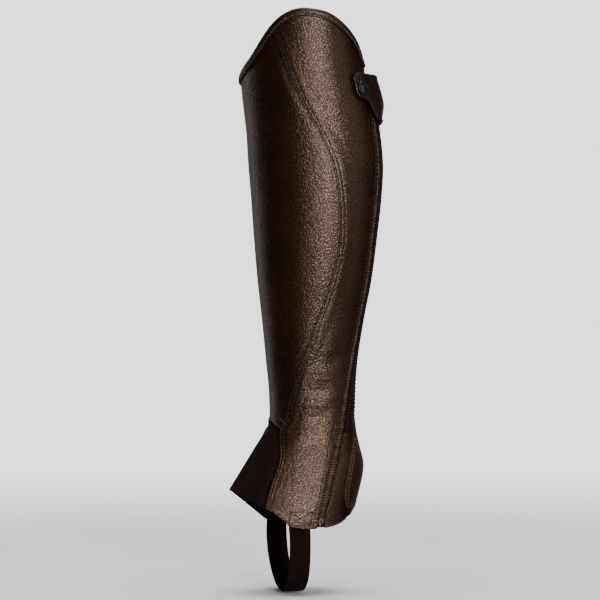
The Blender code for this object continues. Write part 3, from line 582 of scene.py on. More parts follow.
def leaf(name, finish, face, middle, near, thickness, layers=None, flat=None):
    """Closed shell of two grids that share their border points: face at the middle plus
    and less half the thickness, which closes to nothing at the border. With no flat map
    the outer grid's own lengths are taken."""
    half = round_edge(near, thickness)
    outside, inside = face(middle + half), face(middle - half)
    if flat is None:
        flat = flat_map(outside)
    rows, columns = outside.shape[:2]
    outer = np.arange(rows * columns).reshape(rows, columns)
    inner = outer.copy()
    kept = (rows - 2) * (columns - 2)
    inner[1:-1, 1:-1] = rows * columns + np.arange(kept).reshape(rows - 2, columns - 2)
    out = np.stack([outer[:-1, :-1], outer[:-1, 1:], outer[1:, 1:], outer[1:, :-1]], -1)
    back = np.stack([inner[:-1, :-1], inner[1:, :-1], inner[1:, 1:], inner[:-1, 1:]], -1)
    out, back = out.reshape(-1, 4).tolist(), back.reshape(-1, 4).tolist()

    def both(grid, second=None):
        if grid is None:
            return None
        second = grid if second is None else second
        width = grid.shape[-1]
        return np.concatenate([grid.reshape(-1, width), second[1:-1, 1:-1].reshape(-1, width)])

    return add_mesh(name, both(outside, inside), out + back, finish, both(layers), both(flat), len(out))


def flow_weights(angle, height):
    """How strongly the leather's fine wrinkles run level, upright or slanting at a place."""
    side = wrapped(angle)
    shin = np.exp(-((side / 40.0) ** 4))
    ankle = bell((height + 205.0) / 52.0) * (1.0 - 0.6 * shin)
    foot = ease((-246.0 - height) / 22.0)
    forward = bell((np.abs(side) - 62.0) / 16.0)
    crown = bell((height - 55.0) / 42.0) * bell((side - 72.0) / 34.0)
    inner = 0.5 * bell((height - 40.0) / 50.0) * bell((side + 90.0) / 45.0)
    weights = (ankle + 0.25 * foot * (1.0 - forward), foot * forward, crown + inner)
    return np.stack([np.clip(weight, 0.0, 1.0) for weight in weights], -1)


def flat_map(grid):
    """Lengths along a grid's rows and columns, in metres, the rows' from their middle."""
    wide = np.linalg.norm(np.diff(grid, axis=1), axis=-1).cumsum(axis=1)
    tall = np.linalg.norm(np.diff(grid, axis=0), axis=-1).cumsum(axis=0)
    wide = np.concatenate([np.zeros((grid.shape[0], 1)), wide], 1)
    tall = np.concatenate([np.zeros((1, grid.shape[1])), tall], 0)
    return np.stack([wide - wide[:, [wide.shape[1] // 2]], tall], -1) * MM


def panel(name, finish, borders, across, up, lift, thickness, rows=(), wrinkled=1.0):
    """A piece of the leg between its borders. rows are (seam or hem, distances) where the
    sewing pulls the leather in."""
    angle, height = lattice(*borders, across, up)
    near = edge_distance(angle, height)
    if callable(thickness):
        thickness = thickness(angle, height)
    middle = lift(angle, height) - 0.5 * thickness
    for seam, distances in rows:
        away = height - hem(angle) if seam is hem else from_edge(angle, height, seam)
        for distance in distances:
            middle = middle - TROUGH * bell((np.abs(away) - distance) / TROUGH_BREADTH)
    if wrinkled:
        middle = middle + wrinkled * creases(angle, height) * ease(near / 6.0)
    return leaf(name, finish, lambda off: surface(angle, height, off), middle, near, thickness,
                flow_weights(angle, height))


def bars(centre, side, up, wide, tall, around_count=8):
    """Many short closed bars at once. Each runs through its ring centres, and a ring is
    an ellipse: centre + cosine times wide along side + sine times tall along up."""
    count, rings = centre.shape[:2]
    turn = 2 * math.pi * np.arange(around_count) / around_count
    wide = np.broadcast_to(wide, (count, rings))[..., None, None]
    tall = np.broadcast_to(tall, (count, rings))[..., None, None]
    points = centre[:, :, None] + side[:, :, None] * wide * np.cos(turn)[:, None]
    points = points + up[:, :, None] * tall * np.sin(turn)[:, None]
    number = np.arange(count * rings * around_count).reshape(count, rings, around_count)
    after = np.roll(number, -1, axis=2)
    quads = np.stack([number[:, :-1], after[:, :-1], after[:, 1:], number[:, 1:]], -1)
    faces = quads.reshape(-1, 4).tolist()
    faces += number[:, 0, ::-1].tolist() + number[:, -1].tolist()
    return points.reshape(-1, 3), faces


def joined(parts):
    """One set of points and faces from several."""
    points, faces, base = [], [], 0
    for some, quads in parts:
        points.append(some)
        faces += [[k + base for k in face] for face in quads]
        base += len(some)
    return np.concatenate(points), faces


def closed_tube(name, rings, finish, flat=None):
    """A closed solid through rings of points, with flat ends."""
    stations, count = rings.shape[:2]
    number = np.arange(stations * count).reshape(stations, count)
    after = np.roll(number, -1, axis=1)
    quads = np.stack([number[:-1], after[:-1], after[1:], number[1:]], -1).reshape(-1, 4)
    half_way = stations // 2
    sample = rings[half_way, 0] - rings.mean(axis=1)[half_way]
    along = rings[half_way + 1, 0] - rings[half_way, 0]
    step = rings[half_way, 1] - rings[half_way, 0]
    faces = quads.tolist() + [number[0, ::-1].tolist(), number[-1].tolist()]
    if np.dot(np.cross(step, along), sample) < 0:
        faces = [face[::-1] for face in faces]
    uv = None if flat is None else flat.reshape(-1, 2)
    return add_mesh(name, rings.reshape(-1, 3), faces, finish, None, uv)


# The pieces of leather and elastic

def panels(grained, smooth, elastic):
    """Every piece that lies on the leg: its name, finish, borders, grid, lift, thickness
    and sewn rows."""
    sewn, at_zip = shifted(SEWN, SEAM_HALF), shifted(SEWN, ZIP_OPEN_HALF)
    under = shifted(RIM, 1.0 - LAP)
    both = (ROW_NEAR, ROW_FAR)
    return {
        # Shin wrap, from the inner seam round the shin to the long seam
        "front_panel": panel(
            "front_panel_leather", grained, (inner_seam_left, outer_seam, shin_bottom, top_edge),
            spread(sewn, 80, under), spread(RIM, 262, RIM), front_lift, LEATHER,
            [(inner_seam_left, (NEAR,))]),
        # Outer side, from the long seam and the gusset to the zip, with the peaked top
        "outer_panel": panel(
            "outer_panel_leather", grained, (outer_seam, zip_line, hem, top_edge),
            spread(sewn, 76, at_zip), spread(SEWN, 356, RIM), outer_lift, outer_thickness,
            [(outer_seam, (NEAR, FAR)), (zip_line, (ZIP_NEAR, ZIP_FAR)), (hem, both)]),
        # Inner side, from the back elastic and round the heel to the inner front seam
        "inner_panel": panel(
            "inner_panel_leather", smooth, (heel_line, inner_seam, hem, top_edge),
            spread(sewn, 98, sewn), spread(SEWN, 292, RIM), inner_lift, inner_thickness,
            [(heel_line, (NEAR, FAR)), (inner_seam, (NEAR,)), (hem, both)]),
        # Patch between the zip and the inner panel's edge, which laps over it
        "heel_patch": panel(
            "heel_patch_leather", grained, (zip_line, heel_line, hem, level(HEEL_PATCH_TOP)),
            spread(at_zip, 26, under), spread(RIM, 62, RIM), heel_lift, LEATHER,
            [(zip_line, (ZIP_NEAR,))]),
        # Stretch strip beside the zip, down the calf to the heel patch
        "back_elastic": panel(
            "back_elastic_strip", elastic, (zip_line, heel_line, level(HEEL_PATCH_TOP + GAP), top_edge),
            spread(shifted(RIM, ZIP_OPEN_HALF), 18, shifted(RIM, SEAM_HALF)), spread(RIM, 240, RIM),
            flush, ELASTIC, (), 0.0),
        # Folded elastic wings over the instep, which run on under the leather's edges
        "front_gusset": panel(
            "front_gusset_elastic", elastic,
            (inner_seam_left, outer_seam, gusset_bottom, level(GUSSET_TOP)),
            spread(under, 84, under), spread(RIM, 62, RIM), gusset_lift, ELASTIC, (), 0.0),
    }


def zip_tape(name, finish, side):
    """One tape of the zip, under the leather's edge."""
    width = np.array([0.15, 0.3, 0.6, 1.2, 2.4, 3.6, 5.0, 6.6, 8.0, 8.6, 8.9, TAPE_WIDTH])
    low = float(hem(np.array(98.0))) + TAPE_FOOT
    heights = np.concatenate([[low, low + 0.15, low + 0.5], np.linspace(low + 1.5, ZIP_TOP - 1.5, 300),
                              [ZIP_TOP - 0.5, ZIP_TOP - 0.15, ZIP_TOP]])
    upright = np.repeat(heights[:, None], len(width), 1)
    up = upright
    for _ in range(12):
        middle = zip_line(up)
        angle = middle + side * width / around(middle, up)
        up = np.clip(upright, hem(angle) + TAPE_FOOT, np.minimum(ZIP_TOP, top_edge(angle) - 11.0))
    flat = np.stack([np.broadcast_to(width, up.shape), up], -1) * MM
    near = np.minimum(width - width[0], width[-1] - width)[None, :]
    near = np.minimum(near, np.minimum(heights - heights[0], heights[-1] - heights)[:, None])
    if side < 0:
        angle, up, flat, near = (grid[:, ::-1] for grid in (angle, up, flat, near))
    return leaf(name, finish, lambda off: surface(angle, up, off), -LEATHER - GAP - 0.5 * TAPE,
                near, TAPE, None, flat)


def top_binding(finish):
    """A strip folded over the top edge, carried along it square to the edge. Its section
    is a U whose bend is a half circle, with rounded lips."""
    angle = np.linspace(*BINDING_ENDS, 520)
    outer = BINDING_GAP + BINDING_RISE * binding_lap(angle, LAP_RAMP)
    inner = -LEATHER - BINDING_GAP - 1.1 * binding_lap(angle, 0.0)
    middle, reach = 0.5 * (outer + inner), 0.5 * (outer - inner)
    ripple = 0.10 * np.sin(angle * 0.61) * np.sin(angle * 1.73 + 1.0)
    lips = ((-BAND, 0.0), (-BAND + 0.12, 0.72), (-BAND + 0.4, 0.96), (-BAND + 0.9, 1.06))
    profile = [(outer + BINDING * thick, along) for along, thick in lips]
    for along in (-BAND + 1.5, BAND_ROW, -BAND + 2.1, -BAND + 2.8, -BAND + 3.6, -1.6, -0.6):
        pulled = 0.22 * bell((along - BAND_ROW) / 0.35)
        swell = 0.30 * bell((along + 2.2) / 1.5)
        profile.append((outer + BINDING * (1.0 - pulled + swell) + ripple, along))
    for turn in np.linspace(0.0, math.pi, 13):
        profile.append((
            middle + (reach + BINDING) * math.cos(turn) + ripple * max(math.cos(turn), 0.0),
            BINDING_GAP + BINDING * math.sin(turn) - 0.4 * (1.0 - math.sin(turn)),
        ))
    profile += [(inner - BINDING, along) for along in (-2.0, -4.0, -BAND + 0.9)]
    profile += [(inner - BINDING * thick, along) for along, thick in lips[2::-1]]
    profile += [(inner, along) for along in (-BAND + 1.0, -2.0, 0.2)]
    profile.append((middle, BINDING_GAP))
    profile += [(outer, along) for along in (0.2, -2.0, -BAND + 1.0)]
    rings = np.stack([
        surface(*step_from(angle, top_edge(angle), along), lift) for lift, along in profile
    ], 1)
    across = np.broadcast_to(np.arange(rings.shape[1]) * 0.8, rings.shape[:2])
    run = np.concatenate([[0.0], np.cumsum(np.linalg.norm(np.diff(rings[:, 0], axis=0), axis=1))])
    flat = np.stack([across, np.broadcast_to(run[:, None], rings.shape[:2])], -1) * MM
    return closed_tube("top_binding_strip", rings, finish, flat)


def tab_face(angle, height, lift):
    """Point of the snap tab, moved out from its inner face by lift."""
    full = curve(TAB_STANDOFF[:, (0, 1)], angle)
    edge = curve(TAB_STANDOFF[:, (0, 2)], angle)
    off = edge + (full - edge) * ease((height - TAB_LOW) / (TAB_HIGH - TAB_LOW))
    return egg(angle, height) + normal(angle, height) * (off + lift)[..., None]


def snap_tab(finish):
    """Leather tab from the inner panel, round the back and over the zip to the snap."""
    angle, height = lattice(level(TAB_END), level(TAB_ROOT), tab_lower, tab_upper,
                            spread(SEWN, 106, SEWN), spread(SEWN, 20, SEWN))
    near = edge_distance(angle, height)
    middle = 0.5 * LEATHER - 0.22 * bell((near - ROW_NEAR) / 0.55)
    dent = np.hypot((angle - SNAP_ANGLE) * around(angle, height), height - SNAP_HEIGHT)
    middle = middle - 0.25 * bell((dent - CAP_RADIUS) / 2.5)
    middle = middle + 0.20 * np.sin(angle * 0.30 + height * 0.10) * ease((near - 1.0) / 4.0)
    weights = np.zeros(angle.shape + (3,))
    weights[..., 1] = 0.5
    return leaf("snap_tab_leather", finish, lambda off: tab_face(angle, height, off), middle, near,
                LEATHER, weights)


def snap_cap(finish):
    """The snap's domed cap: a turned shape with a rolled rim."""
    angle, height, zero = np.array(SNAP_ANGLE), np.array(SNAP_HEIGHT), np.array(0.0)
    across = tab_face(angle + 1.0, height, zero) - tab_face(angle - 1.0, height, zero)
    up = tab_face(angle, height + 1.0, zero) - tab_face(angle, height - 1.0, zero)
    out = unit(np.cross(across, up))
    up = unit(up - out * np.dot(up, out))
    across = np.cross(up, out)
    place = tab_face(angle, height, zero) + out * (LEATHER + GAP + 0.15)
    turn = np.linspace(-0.5 * math.pi, 0.5 * math.pi, 9)
    share = np.linspace(1.0, 0.01, 12)
    radius = [0.02, CAP_RADIUS - 1.4] + list(CAP_RADIUS - CAP_ROLL + CAP_ROLL * np.cos(turn))
    radius += list((CAP_RADIUS - 0.75) * share)
    rise = [0.0, 0.0] + list(CAP_ROLL + CAP_ROLL * np.sin(turn))
    rise += list(1.0 + CAP_CROWN * np.sqrt(1.0 - 0.92 * share ** 2) - CAP_CROWN * math.sqrt(0.08))
    spin = np.linspace(0.0, 2.0 * math.pi, 57)[:-1]
    radius, rise = np.array(radius)[:, None, None], np.array(rise)[:, None, None]
    rings = place + radius * (np.cos(spin)[:, None] * across + np.sin(spin)[:, None] * up)
    return closed_tube("snap_cap_dome", rings + rise * out, finish)


def side_of_leg(x, height, sign):
    """How far across the leg's outer face is at a place along it."""
    middle, front, back, half, _ = section(height)
    reach = np.where(x < middle, middle - front, back - middle)
    return sign * half * np.sqrt(1.0 - ((x - middle) / reach) ** 2)


def foot_strap(finish):
    """Elastic strap under the foot. Its ends are sewn inside the two side panels. A smooth
    line runs through the places of its middle, and its edges are rounded."""
    wide = np.concatenate([[0.0, 0.15, 0.5, 1.0], np.linspace(2.2, 16.6, 15), [17.8, 18.3, 18.65, 18.8]])
    x = STRAP_FRONT + wide
    over_tape = STRAP_INSET + TAPE + GAP
    sewn, run = np.array(STRAP_SEWN), np.array(STRAP_RUN)
    y = [side_of_leg(x, height, -1) + over_tape for height in sewn]
    y += [np.full(len(x), place) for place in run[:, 0]]
    y += [side_of_leg(x, height, 1) - STRAP_INSET for height in sewn[::-1]]
    y, z = np.array(y), np.concatenate([sewn, run[:, 1], sewn[::-1]])
    knots = np.cumsum(np.hypot(np.diff(y[:, len(x) // 2]), np.diff(z)))
    knots = np.concatenate([[0.0], knots])
    total = knots[-1]
    at = np.concatenate([[0.0, 0.15, 0.5, 1.0], np.linspace(2.0, total - 2.0, 170),
                         [total - 1.0, total - 0.5, total - 0.15, total]])
    fine_y = np.stack([curve(np.stack([knots, y[:, k]], 1), at) for k in range(len(x))], 1)
    fine_z = np.repeat(curve(np.stack([knots, z], 1), at)[:, None], len(x), 1)
    face = np.stack([np.broadcast_to(x, fine_y.shape), fine_y, fine_z], -1)
    inward = unit(np.cross(np.array([1.0, 0.0, 0.0]), np.gradient(face, axis=0)))
    near = np.minimum(np.minimum(wide, wide[-1] - wide)[None, :], np.minimum(at, total - at)[:, None])
    flat = np.stack([np.broadcast_to(wide, fine_y.shape), np.repeat(at[:, None], len(x), 1)], -1) * MM
    return leaf("foot_strap_elastic", finish, lambda off: face - inward * off[..., None],
                -0.5 * STRAP, near, STRAP, None, flat)


# Sewing, teeth and small trim

def along_path(points, normals, start, stop, count_in, pitch):
    """Places of evenly spaced pieces along a path, each sampled at a few parts of itself."""
    step = np.linalg.norm(np.diff(points, axis=0), axis=1)
    run = np.concatenate([[0.0], np.cumsum(step)])
    count = max(int(round((run[-1] - 0.2) / pitch)), 1)
    pitch = run[-1] / count
    at = ((np.arange(count) + 0.5) * pitch)[:, None] + np.linspace(start, stop, count_in) * pitch

    def sampled(values, where):
        return np.stack([np.interp(where, run, values[:, k]) for k in range(3)], -1)

    out = unit(sampled(normals, at))
    forward = unit(sampled(points, at + 0.2) - sampled(points, at - 0.2))
    out = unit(out - forward * np.sum(out * forward, -1, keepdims=True))
    return sampled(points, at), forward, out


def stitches(paths, pitch, thickness):
    """Stitches of a sewn row: each lies on the leather as a low arch, its ends sunk into
    the needle holes, and leans a little as lockstitch does."""
    def sewn(path, out):
        place, forward, up = along_path(path, out, -STITCH_HALF, STITCH_HALF, STITCH_RINGS, pitch)
        side = np.cross(forward, up)
        t = np.linspace(-1.0, 1.0, STITCH_RINGS)
        part = t[None, :, None]
        centre = place + up * (ARCH * (1.0 - part * part) - SUNK) + side * (LEAN * part)
        width = thickness * np.sqrt(1.0 - 0.75 * t ** 4)
        return bars(centre, side, up, width, width)

    return joined(sewn(path, out) for path, out in paths)


def hole_shade_domes(name, paths, finish):
    """Painted shade in the needle holes: low flat dark domes between the stitches, at the holes."""
    parts = [along_path(path, out, 0.5, 0.5, 1, PITCH) for path, out in paths]
    spot, forward, up = (np.concatenate(part) for part in zip(*parts))
    side = np.cross(forward, up)
    centre = spot + up * np.array([-0.25, 0.05])[None, :, None]
    forward, side = np.repeat(forward, 2, 1), np.repeat(side, 2, 1)
    points, faces = bars(centre, forward, side, np.array([0.46, 0.42]), np.array([0.40, 0.36]), 6)
    return add_mesh(name, points, faces, finish)


def row_beside(seam, distance, heights, lift):
    """Path on the leather at a distance round the leg from a seam."""
    angle = seam(heights)
    for _ in range(4):
        angle = seam(heights) + distance / around(angle, heights)
    inset = min(abs(distance), abs(abs(distance) - ZIP_OPEN_HALF))
    off = lift(angle, heights) + creases(angle, heights) * float(ease(inset / 6.0)) - TROUGH
    return surface(angle, heights, off), normal(angle, heights)


def row_along(edge, distance, angles, lift):
    """Path on the leather at a distance square to an edge given by angle."""
    moved, heights = step_from(angles, edge(angles), distance)
    off = lift(moved, heights) + creases(moved, heights) * float(ease(distance / 6.0)) - TROUGH
    return surface(moved, heights, off), normal(moved, heights)


def leather_rows():
    """Every sewn row on the leather, as paths with the way out of the leg: those of the
    long seams, and those along the foot's edges."""
    rows, edges = [], []
    # Columns: list, seam, distances round the leg, lowest and highest place, lift
    for kept, seam, distances, low, high, lift in (
        (rows, outer_seam, (NEAR, FAR), -243.0, 118.0, outer_lift),
        (edges, outer_seam, (NEAR, FAR), -296.0, -243.0, outer_lift),
        (rows, zip_line, (-ZIP_NEAR, -ZIP_FAR), -309.0, 84.0, outer_lift),
        (edges, heel_line, (NEAR, FAR), -300.0, -238.0, inner_lift),
        (rows, heel_line, (NEAR, FAR), -228.0, 32.0, inner_lift),
        (rows, zip_line, (ZIP_NEAR,), -309.0, -236.0, heel_lift),
        (rows, inner_seam, (-NEAR,), -296.0, 66.0, inner_lift),
        (rows, inner_seam_left, (NEAR,), -222.0, 66.0, front_lift),
    ):
        kept += [row_beside(seam, distance, np.arange(low, high, 1.0), lift) for distance in distances]
    # Columns: edge, distances square to it, first and last angle, lift
    for edge, distances, low, high, lift in (
        (hem, (ROW_NEAR, ROW_FAR), 57.0, 92.0, outer_lift),
        (hem, (ROW_NEAR, ROW_FAR), 154.0, 300.0, inner_lift),
        (hem, (ROW_NEAR,), 104.0, 140.0, heel_lift),
        (shin_bottom, (ROW_NEAR,), -33.0, 33.0, front_lift),
    ):
        edges += [row_along(edge, distance, np.arange(low, high, 0.7), lift) for distance in distances]
    return rows, edges


def binding_rows():
    """The row sewn through the top binding, a little above its lower lip."""
    angle = np.arange(BINDING_ENDS[0] + 2.0, BINDING_ENDS[1] - 1.6, 0.5)
    moved, height = step_from(angle, top_edge(angle), BAND_ROW)
    off = BINDING_GAP + BINDING + BINDING_RISE * binding_lap(angle, LAP_RAMP) - SUNK
    return [(surface(moved, height, off), normal(moved, height))]


def elastic_rows():
    """Rows on the elastic: beside the zip, and where the gusset's facing is sewn."""
    wing = np.arange(-297.0, -262.0, 1.0)
    return [
        row_beside(zip_line, ZIP_NEAR, np.arange(-231.0, 70.0, 1.0), flush),
        row_beside(outer_seam, -4.6, wing, gusset_lift),
        row_beside(inner_seam_left, 4.6, wing, gusset_lift),
    ]


def tab_rows():
    """The tab's outline, sewn a little way in, and the box that holds its root."""
    angle = np.arange(118.5, 193.0, 0.6)
    scale = around(angle, angle * 0.0 + 60.0)
    runs = []
    for edge, side in ((tab_upper, -1.0), (tab_lower, 1.0)):
        slope = np.gradient(edge(angle)) / (np.gradient(angle) * scale)
        runs.append((angle, edge(angle) + side * ROW_NEAR * np.hypot(1.0, slope)))
    for place, low, high in ((TAB_END + 1.75, 60.0, 72.0), (TAB_ROOT - 1.8, 38.5, 62.5),
                             (TAB_ROOT - 10.0, 38.5, 62.5)):
        height = np.arange(low, high, 0.6)
        runs.append((np.full(height.shape, place), height))
    return [(tab_face(a, h, LEATHER - 0.1 + 0.0 * a), normal(a, h)) for a, h in runs]


def drawn_rows(lines, lift):
    """Straight rows between (angle, height) places on a piece."""
    rows = []
    for start, stop in lines:
        angle, height = np.linspace(start, stop, 24).T
        off = lift(angle, height) + creases(angle, height)
        rows.append((surface(angle, height, off), normal(angle, height)))
    return rows


def box_and_cross():
    """The square and its diagonals that hold the strap's end, on the outer panel."""
    (left, low), (right, high) = STRAP_BOX
    a, b, c, d = (left, low), (right, low), (left, high), (right, high)
    return drawn_rows(((a, b), (c, d), (a, c), (b, d), (a, d), (b, c)), outer_lift)


def zigzag(first, last, count, swing, lift):
    """A tack: close stitches that swing from side to side along a line."""
    scale = float(around(*map(np.array, first)))
    turn = math.atan2(last[1] - first[1], (last[0] - first[0]) * scale)
    lines = []
    for angle, height in np.linspace(first, last, count):
        side = swing / float(around(angle, height)) * math.sin(turn)
        drop = swing * math.cos(turn)
        lines.append(((angle - side, height - drop), (angle + side, height + drop)))
    return drawn_rows(lines, lift)


def zip_teeth(name, finish, side):
    """One row of moulded teeth. Each is a bar across the tape whose head swells past the
    zip's middle, between the heads of the other row."""
    path, out = row_beside(zip_line, 0.0, np.arange(-308.0, 58.0, 0.5), tape_face)
    place, forward, up = (grid[:, 0] for grid in along_path(path, out, 0.0, 0.0, 1, TOOTH_PITCH))
    across = np.cross(forward, up) * -side
    place = place + forward * (0.25 * TOOTH_PITCH * side)
    # A tooth's rings: how far across the zip, half width, half height
    reach = np.array([-0.95, -0.75, -0.2, 0.35, 0.8, 2.2, 2.75, 2.95])
    half = np.array([0.30, 0.50, 0.62, 0.55, 0.42, 0.62, 0.55, 0.30])
    tall = np.array([0.45, 0.75, 0.95, 0.95, 0.90, 0.95, 0.80, 0.45])
    centre = place[:, None] + across[:, None] * reach[None, :, None] + up[:, None] * 0.75
    side_way = np.repeat(forward[:, None] * -side, len(reach), 1)
    up_way = np.repeat(up[:, None], len(reach), 1)
    points, faces = bars(centre, side_way, up_way, half * 1.15, tall)
    return add_mesh(name, points, faces, finish)


def zip_stops(finish):
    """The two end pieces at the zip's foot: bars with rounded ends."""
    reach = np.linspace(-2.0, 2.0, 7)
    fat = np.sqrt(1.0 - (reach / 2.3) ** 2)

    def stop(side):
        path, out = row_beside(zip_line, side * 1.6, np.array([-311.5, -309.9, -308.3]),
                               lambda a, h: tape_face(a, h) + 0.9)
        forward = unit(path[2] - path[0])
        across = np.cross(forward, out[1])
        centre = path[1] + forward * reach[:, None]
        return bars(centre[None], np.repeat(across[None, None], 7, 1),
                    np.repeat(out[1][None, None], 7, 1), 1.35 * fat, fat, 12)

    return add_mesh("zip_end_stops", *joined(stop(side) for side in (-1.0, 1.0)), finish)


# Materials

def group(name, inputs, outputs):
    """A shared node group with named inputs, and outputs of one number each."""
    made = bpy.data.node_groups.new(name, "ShaderNodeTree")
    for label, kind, value in inputs:
        socket = made.interface.new_socket(label, in_out="INPUT", socket_type="NodeSocket" + kind)
        if value is not None:
            socket.default_value = value
    for label in outputs:
        made.interface.new_socket(label, in_out="OUTPUT", socket_type="NodeSocketFloat")
    given = made.nodes.new("NodeGroupInput").outputs
    return made, given, made.nodes.new("NodeGroupOutput")


def fill(tree, node, values):
    """Link or set a node's inputs, by label or number."""
    for label, value in values.items():
        if isinstance(value, bpy.types.NodeSocket):
            tree.links.new(value, node.inputs[label])
        else:
            node.inputs[label].default_value = value


def add_node(tree, kind, values, **settings):
    """A node with its settings and inputs, given by its outputs."""
    node = tree.nodes.new("ShaderNode" + kind)
    for name, value in settings.items():
        setattr(node, name, value)
    fill(tree, node, values)
    return node.outputs


def maths(tree, kind, *values):
    """One step of arithmetic on sockets or numbers."""
    return add_node(tree, "Math", dict(enumerate(values)), operation=kind)[0]


def times(tree, first, second):
    """Product of two values."""
    return maths(tree, "MULTIPLY", first, second)


def plus(tree, first, *others):
    """Sum of values."""
    for other in others:
        first = maths(tree, "ADD", first, other)
    return first


def weighted(tree, *pairs):
    """Sum of values, each times its share."""
    return plus(tree, *(times(tree, value, share) for value, share in pairs))


def scaled(tree, vector, by, turned=0.0):
    """A place stretched along its axes and turned about the third."""
    return add_node(tree, "Mapping", {"Vector": vector, "Scale": by, "Rotation": (0.0, 0.0, turned)})[0]


def noise(tree, vector, scale, detail=2.0, rough=0.5):
    """Cloudy noise at a place, by number or colour."""
    return add_node(tree, "TexNoise", {"Vector": vector, "Scale": scale, "Detail": detail,
                                       "Roughness": rough})


def ramp(tree, value, low, high, to_low=0.0, to_high=1.0):
    """A value carried from one range to another, with soft ends."""
    return add_node(tree, "MapRange", {"Value": value, "From Min": low, "From Max": high,
                                       "To Min": to_low, "To Max": to_high},
                    interpolation_type="SMOOTHSTEP")[0]


def grain_group():
    """Pebbled grain: cells with rounded tops, each with smaller ones on it."""
    tree, given, result = group("leather grain", [("Place", "Vector", None), ("Cell", "Float", 3.0)],
                                ["Height", "Tone"])
    place = given["Place"]
    drift = noise(tree, place, 160.0)["Color"]
    centred = add_node(tree, "VectorMath", {0: drift, 1: (0.5, 0.5, 0.5)}, operation="SUBTRACT")[0]
    small = add_node(tree, "VectorMath", {0: centred, "Scale": 0.0022}, operation="SCALE")[0]
    moved = add_node(tree, "VectorMath", {0: place, 1: small}, operation="ADD")[0]
    size = maths(tree, "DIVIDE", 1000.0, given["Cell"])
    parts, furrows = [], []
    for factor, share in ((1.0, 0.62), (2.3, 0.22)):
        cells = {"Vector": moved, "Scale": times(tree, size, factor)}
        edge = add_node(tree, "TexVoronoi", cells, feature="DISTANCE_TO_EDGE")["Distance"]
        dome = add_node(tree, "TexVoronoi", cells, feature="SMOOTH_F1")
        dome[0].node.inputs["Smoothness"].default_value = 0.35
        furrows.append(ramp(tree, edge, 0.0, 0.18))
        round_top = ramp(tree, dome["Distance"], 0.0, 0.85, 1.0, 0.0)
        parts.append(weighted(tree, (round_top, share), (furrows[-1], 0.45 * share)))
    skin = times(tree, noise(tree, place, 2400.0)[0], 0.06)
    # Tone is the furrow mask, 0 in the furrows: the leather darkens its colour by it as painted shade, and
    # sets roughness and reflection by it
    fill(tree, result, {"Height": plus(tree, *parts, skin), "Tone": furrows[0]})
    return tree


def wrinkle_group():
    """Fine wrinkles that run level, upright or slanting, as strong as the piece says."""
    tree, given, result = group(
        "fine wrinkles", [("Flat", "Vector", None), ("Weights", "Color", (0.0, 0.0, 0.0, 1.0))], ["Height"])
    weights = add_node(tree, "SeparateColor", {0: given["Weights"]})
    parts = []
    for weight, by, turned in zip(
        weights, ((110.0, 430.0, 1.0), (430.0, 110.0, 1.0), (90.0, 380.0, 1.0)),
        (0.0, 0.0, math.radians(-50.0)),
    ):
        across = scaled(tree, given["Flat"], (1.0, 1.0, 1.0), turned)
        lines = noise(tree, scaled(tree, across, by), 1.0, 3.0, 0.55)[0]
        fold = maths(tree, "ABSOLUTE", maths(tree, "SUBTRACT", lines, 0.5))
        parts.append(times(tree, ramp(tree, fold, 0.0, 0.26), weight))
    fill(tree, result, {"Height": plus(tree, *parts)})
    return tree


def weave_group():
    """Ribs along a strip, crossed by finer threads. Pitches are in millimetres."""
    tree, given, result = group(
        "ribbed weave", [("Flat", "Vector", None), ("Rib", "Float", 1.4), ("Thread", "Float", 0.9),
                         ("Slant", "Float", 0.0)], ["Height"])
    flat = add_node(tree, "SeparateXYZ", {0: given["Flat"]})
    wide = plus(tree, flat["X"], times(tree, flat["Y"], given["Slant"]))
    parts = []
    for value, pitch, share in ((wide, "Rib", 0.7), (flat["Y"], "Thread", 0.3)):
        turns = maths(tree, "DIVIDE", times(tree, value, 2000.0 * math.pi), given[pitch])
        wave = plus(tree, maths(tree, "SINE", turns), 1.0)
        parts.append((times(tree, wave, 0.5), share))
    fill(tree, result, {"Height": weighted(tree, *parts)})
    return tree


def cloud_group():
    """Slow cloudy change of tone over a piece, from 0 to 1."""
    tree, given, result = group("slow clouds", [("Place", "Vector", None), ("Scale", "Float", 22.0)],
                                ["Amount"])
    clouds = noise(tree, given["Place"], given["Scale"], 4.0)[0]
    fill(tree, result, {"Amount": ramp(tree, clouds, 0.3, 0.7)})
    return tree


def started(name):
    """A new material with its nodes, its shader and the place on the object."""
    made = bpy.data.materials.new(name)
    made.use_nodes = True
    tree = made.node_tree
    place = tree.nodes.new("ShaderNodeTexCoord").outputs["Object"]
    return made, tree, tree.nodes["Principled BSDF"], place


def shared(tree, source, **values):
    """A shared effect placed in a material with its own values."""
    return add_node(tree, "Group", values, node_tree=source)


def mixed(tree, amount, low, high):
    """Colour between two by an amount."""
    return add_node(tree, "Mix", {"Factor": amount, "A": (*low, 1.0), "B": (*high, 1.0)},
                    data_type="RGBA")["Result"]


def bumped(tree, height):
    """Bump whose height is in millimetres."""
    return add_node(tree, "Bump", {"Height": height, "Distance": MM, "Strength": 1.0})[0]


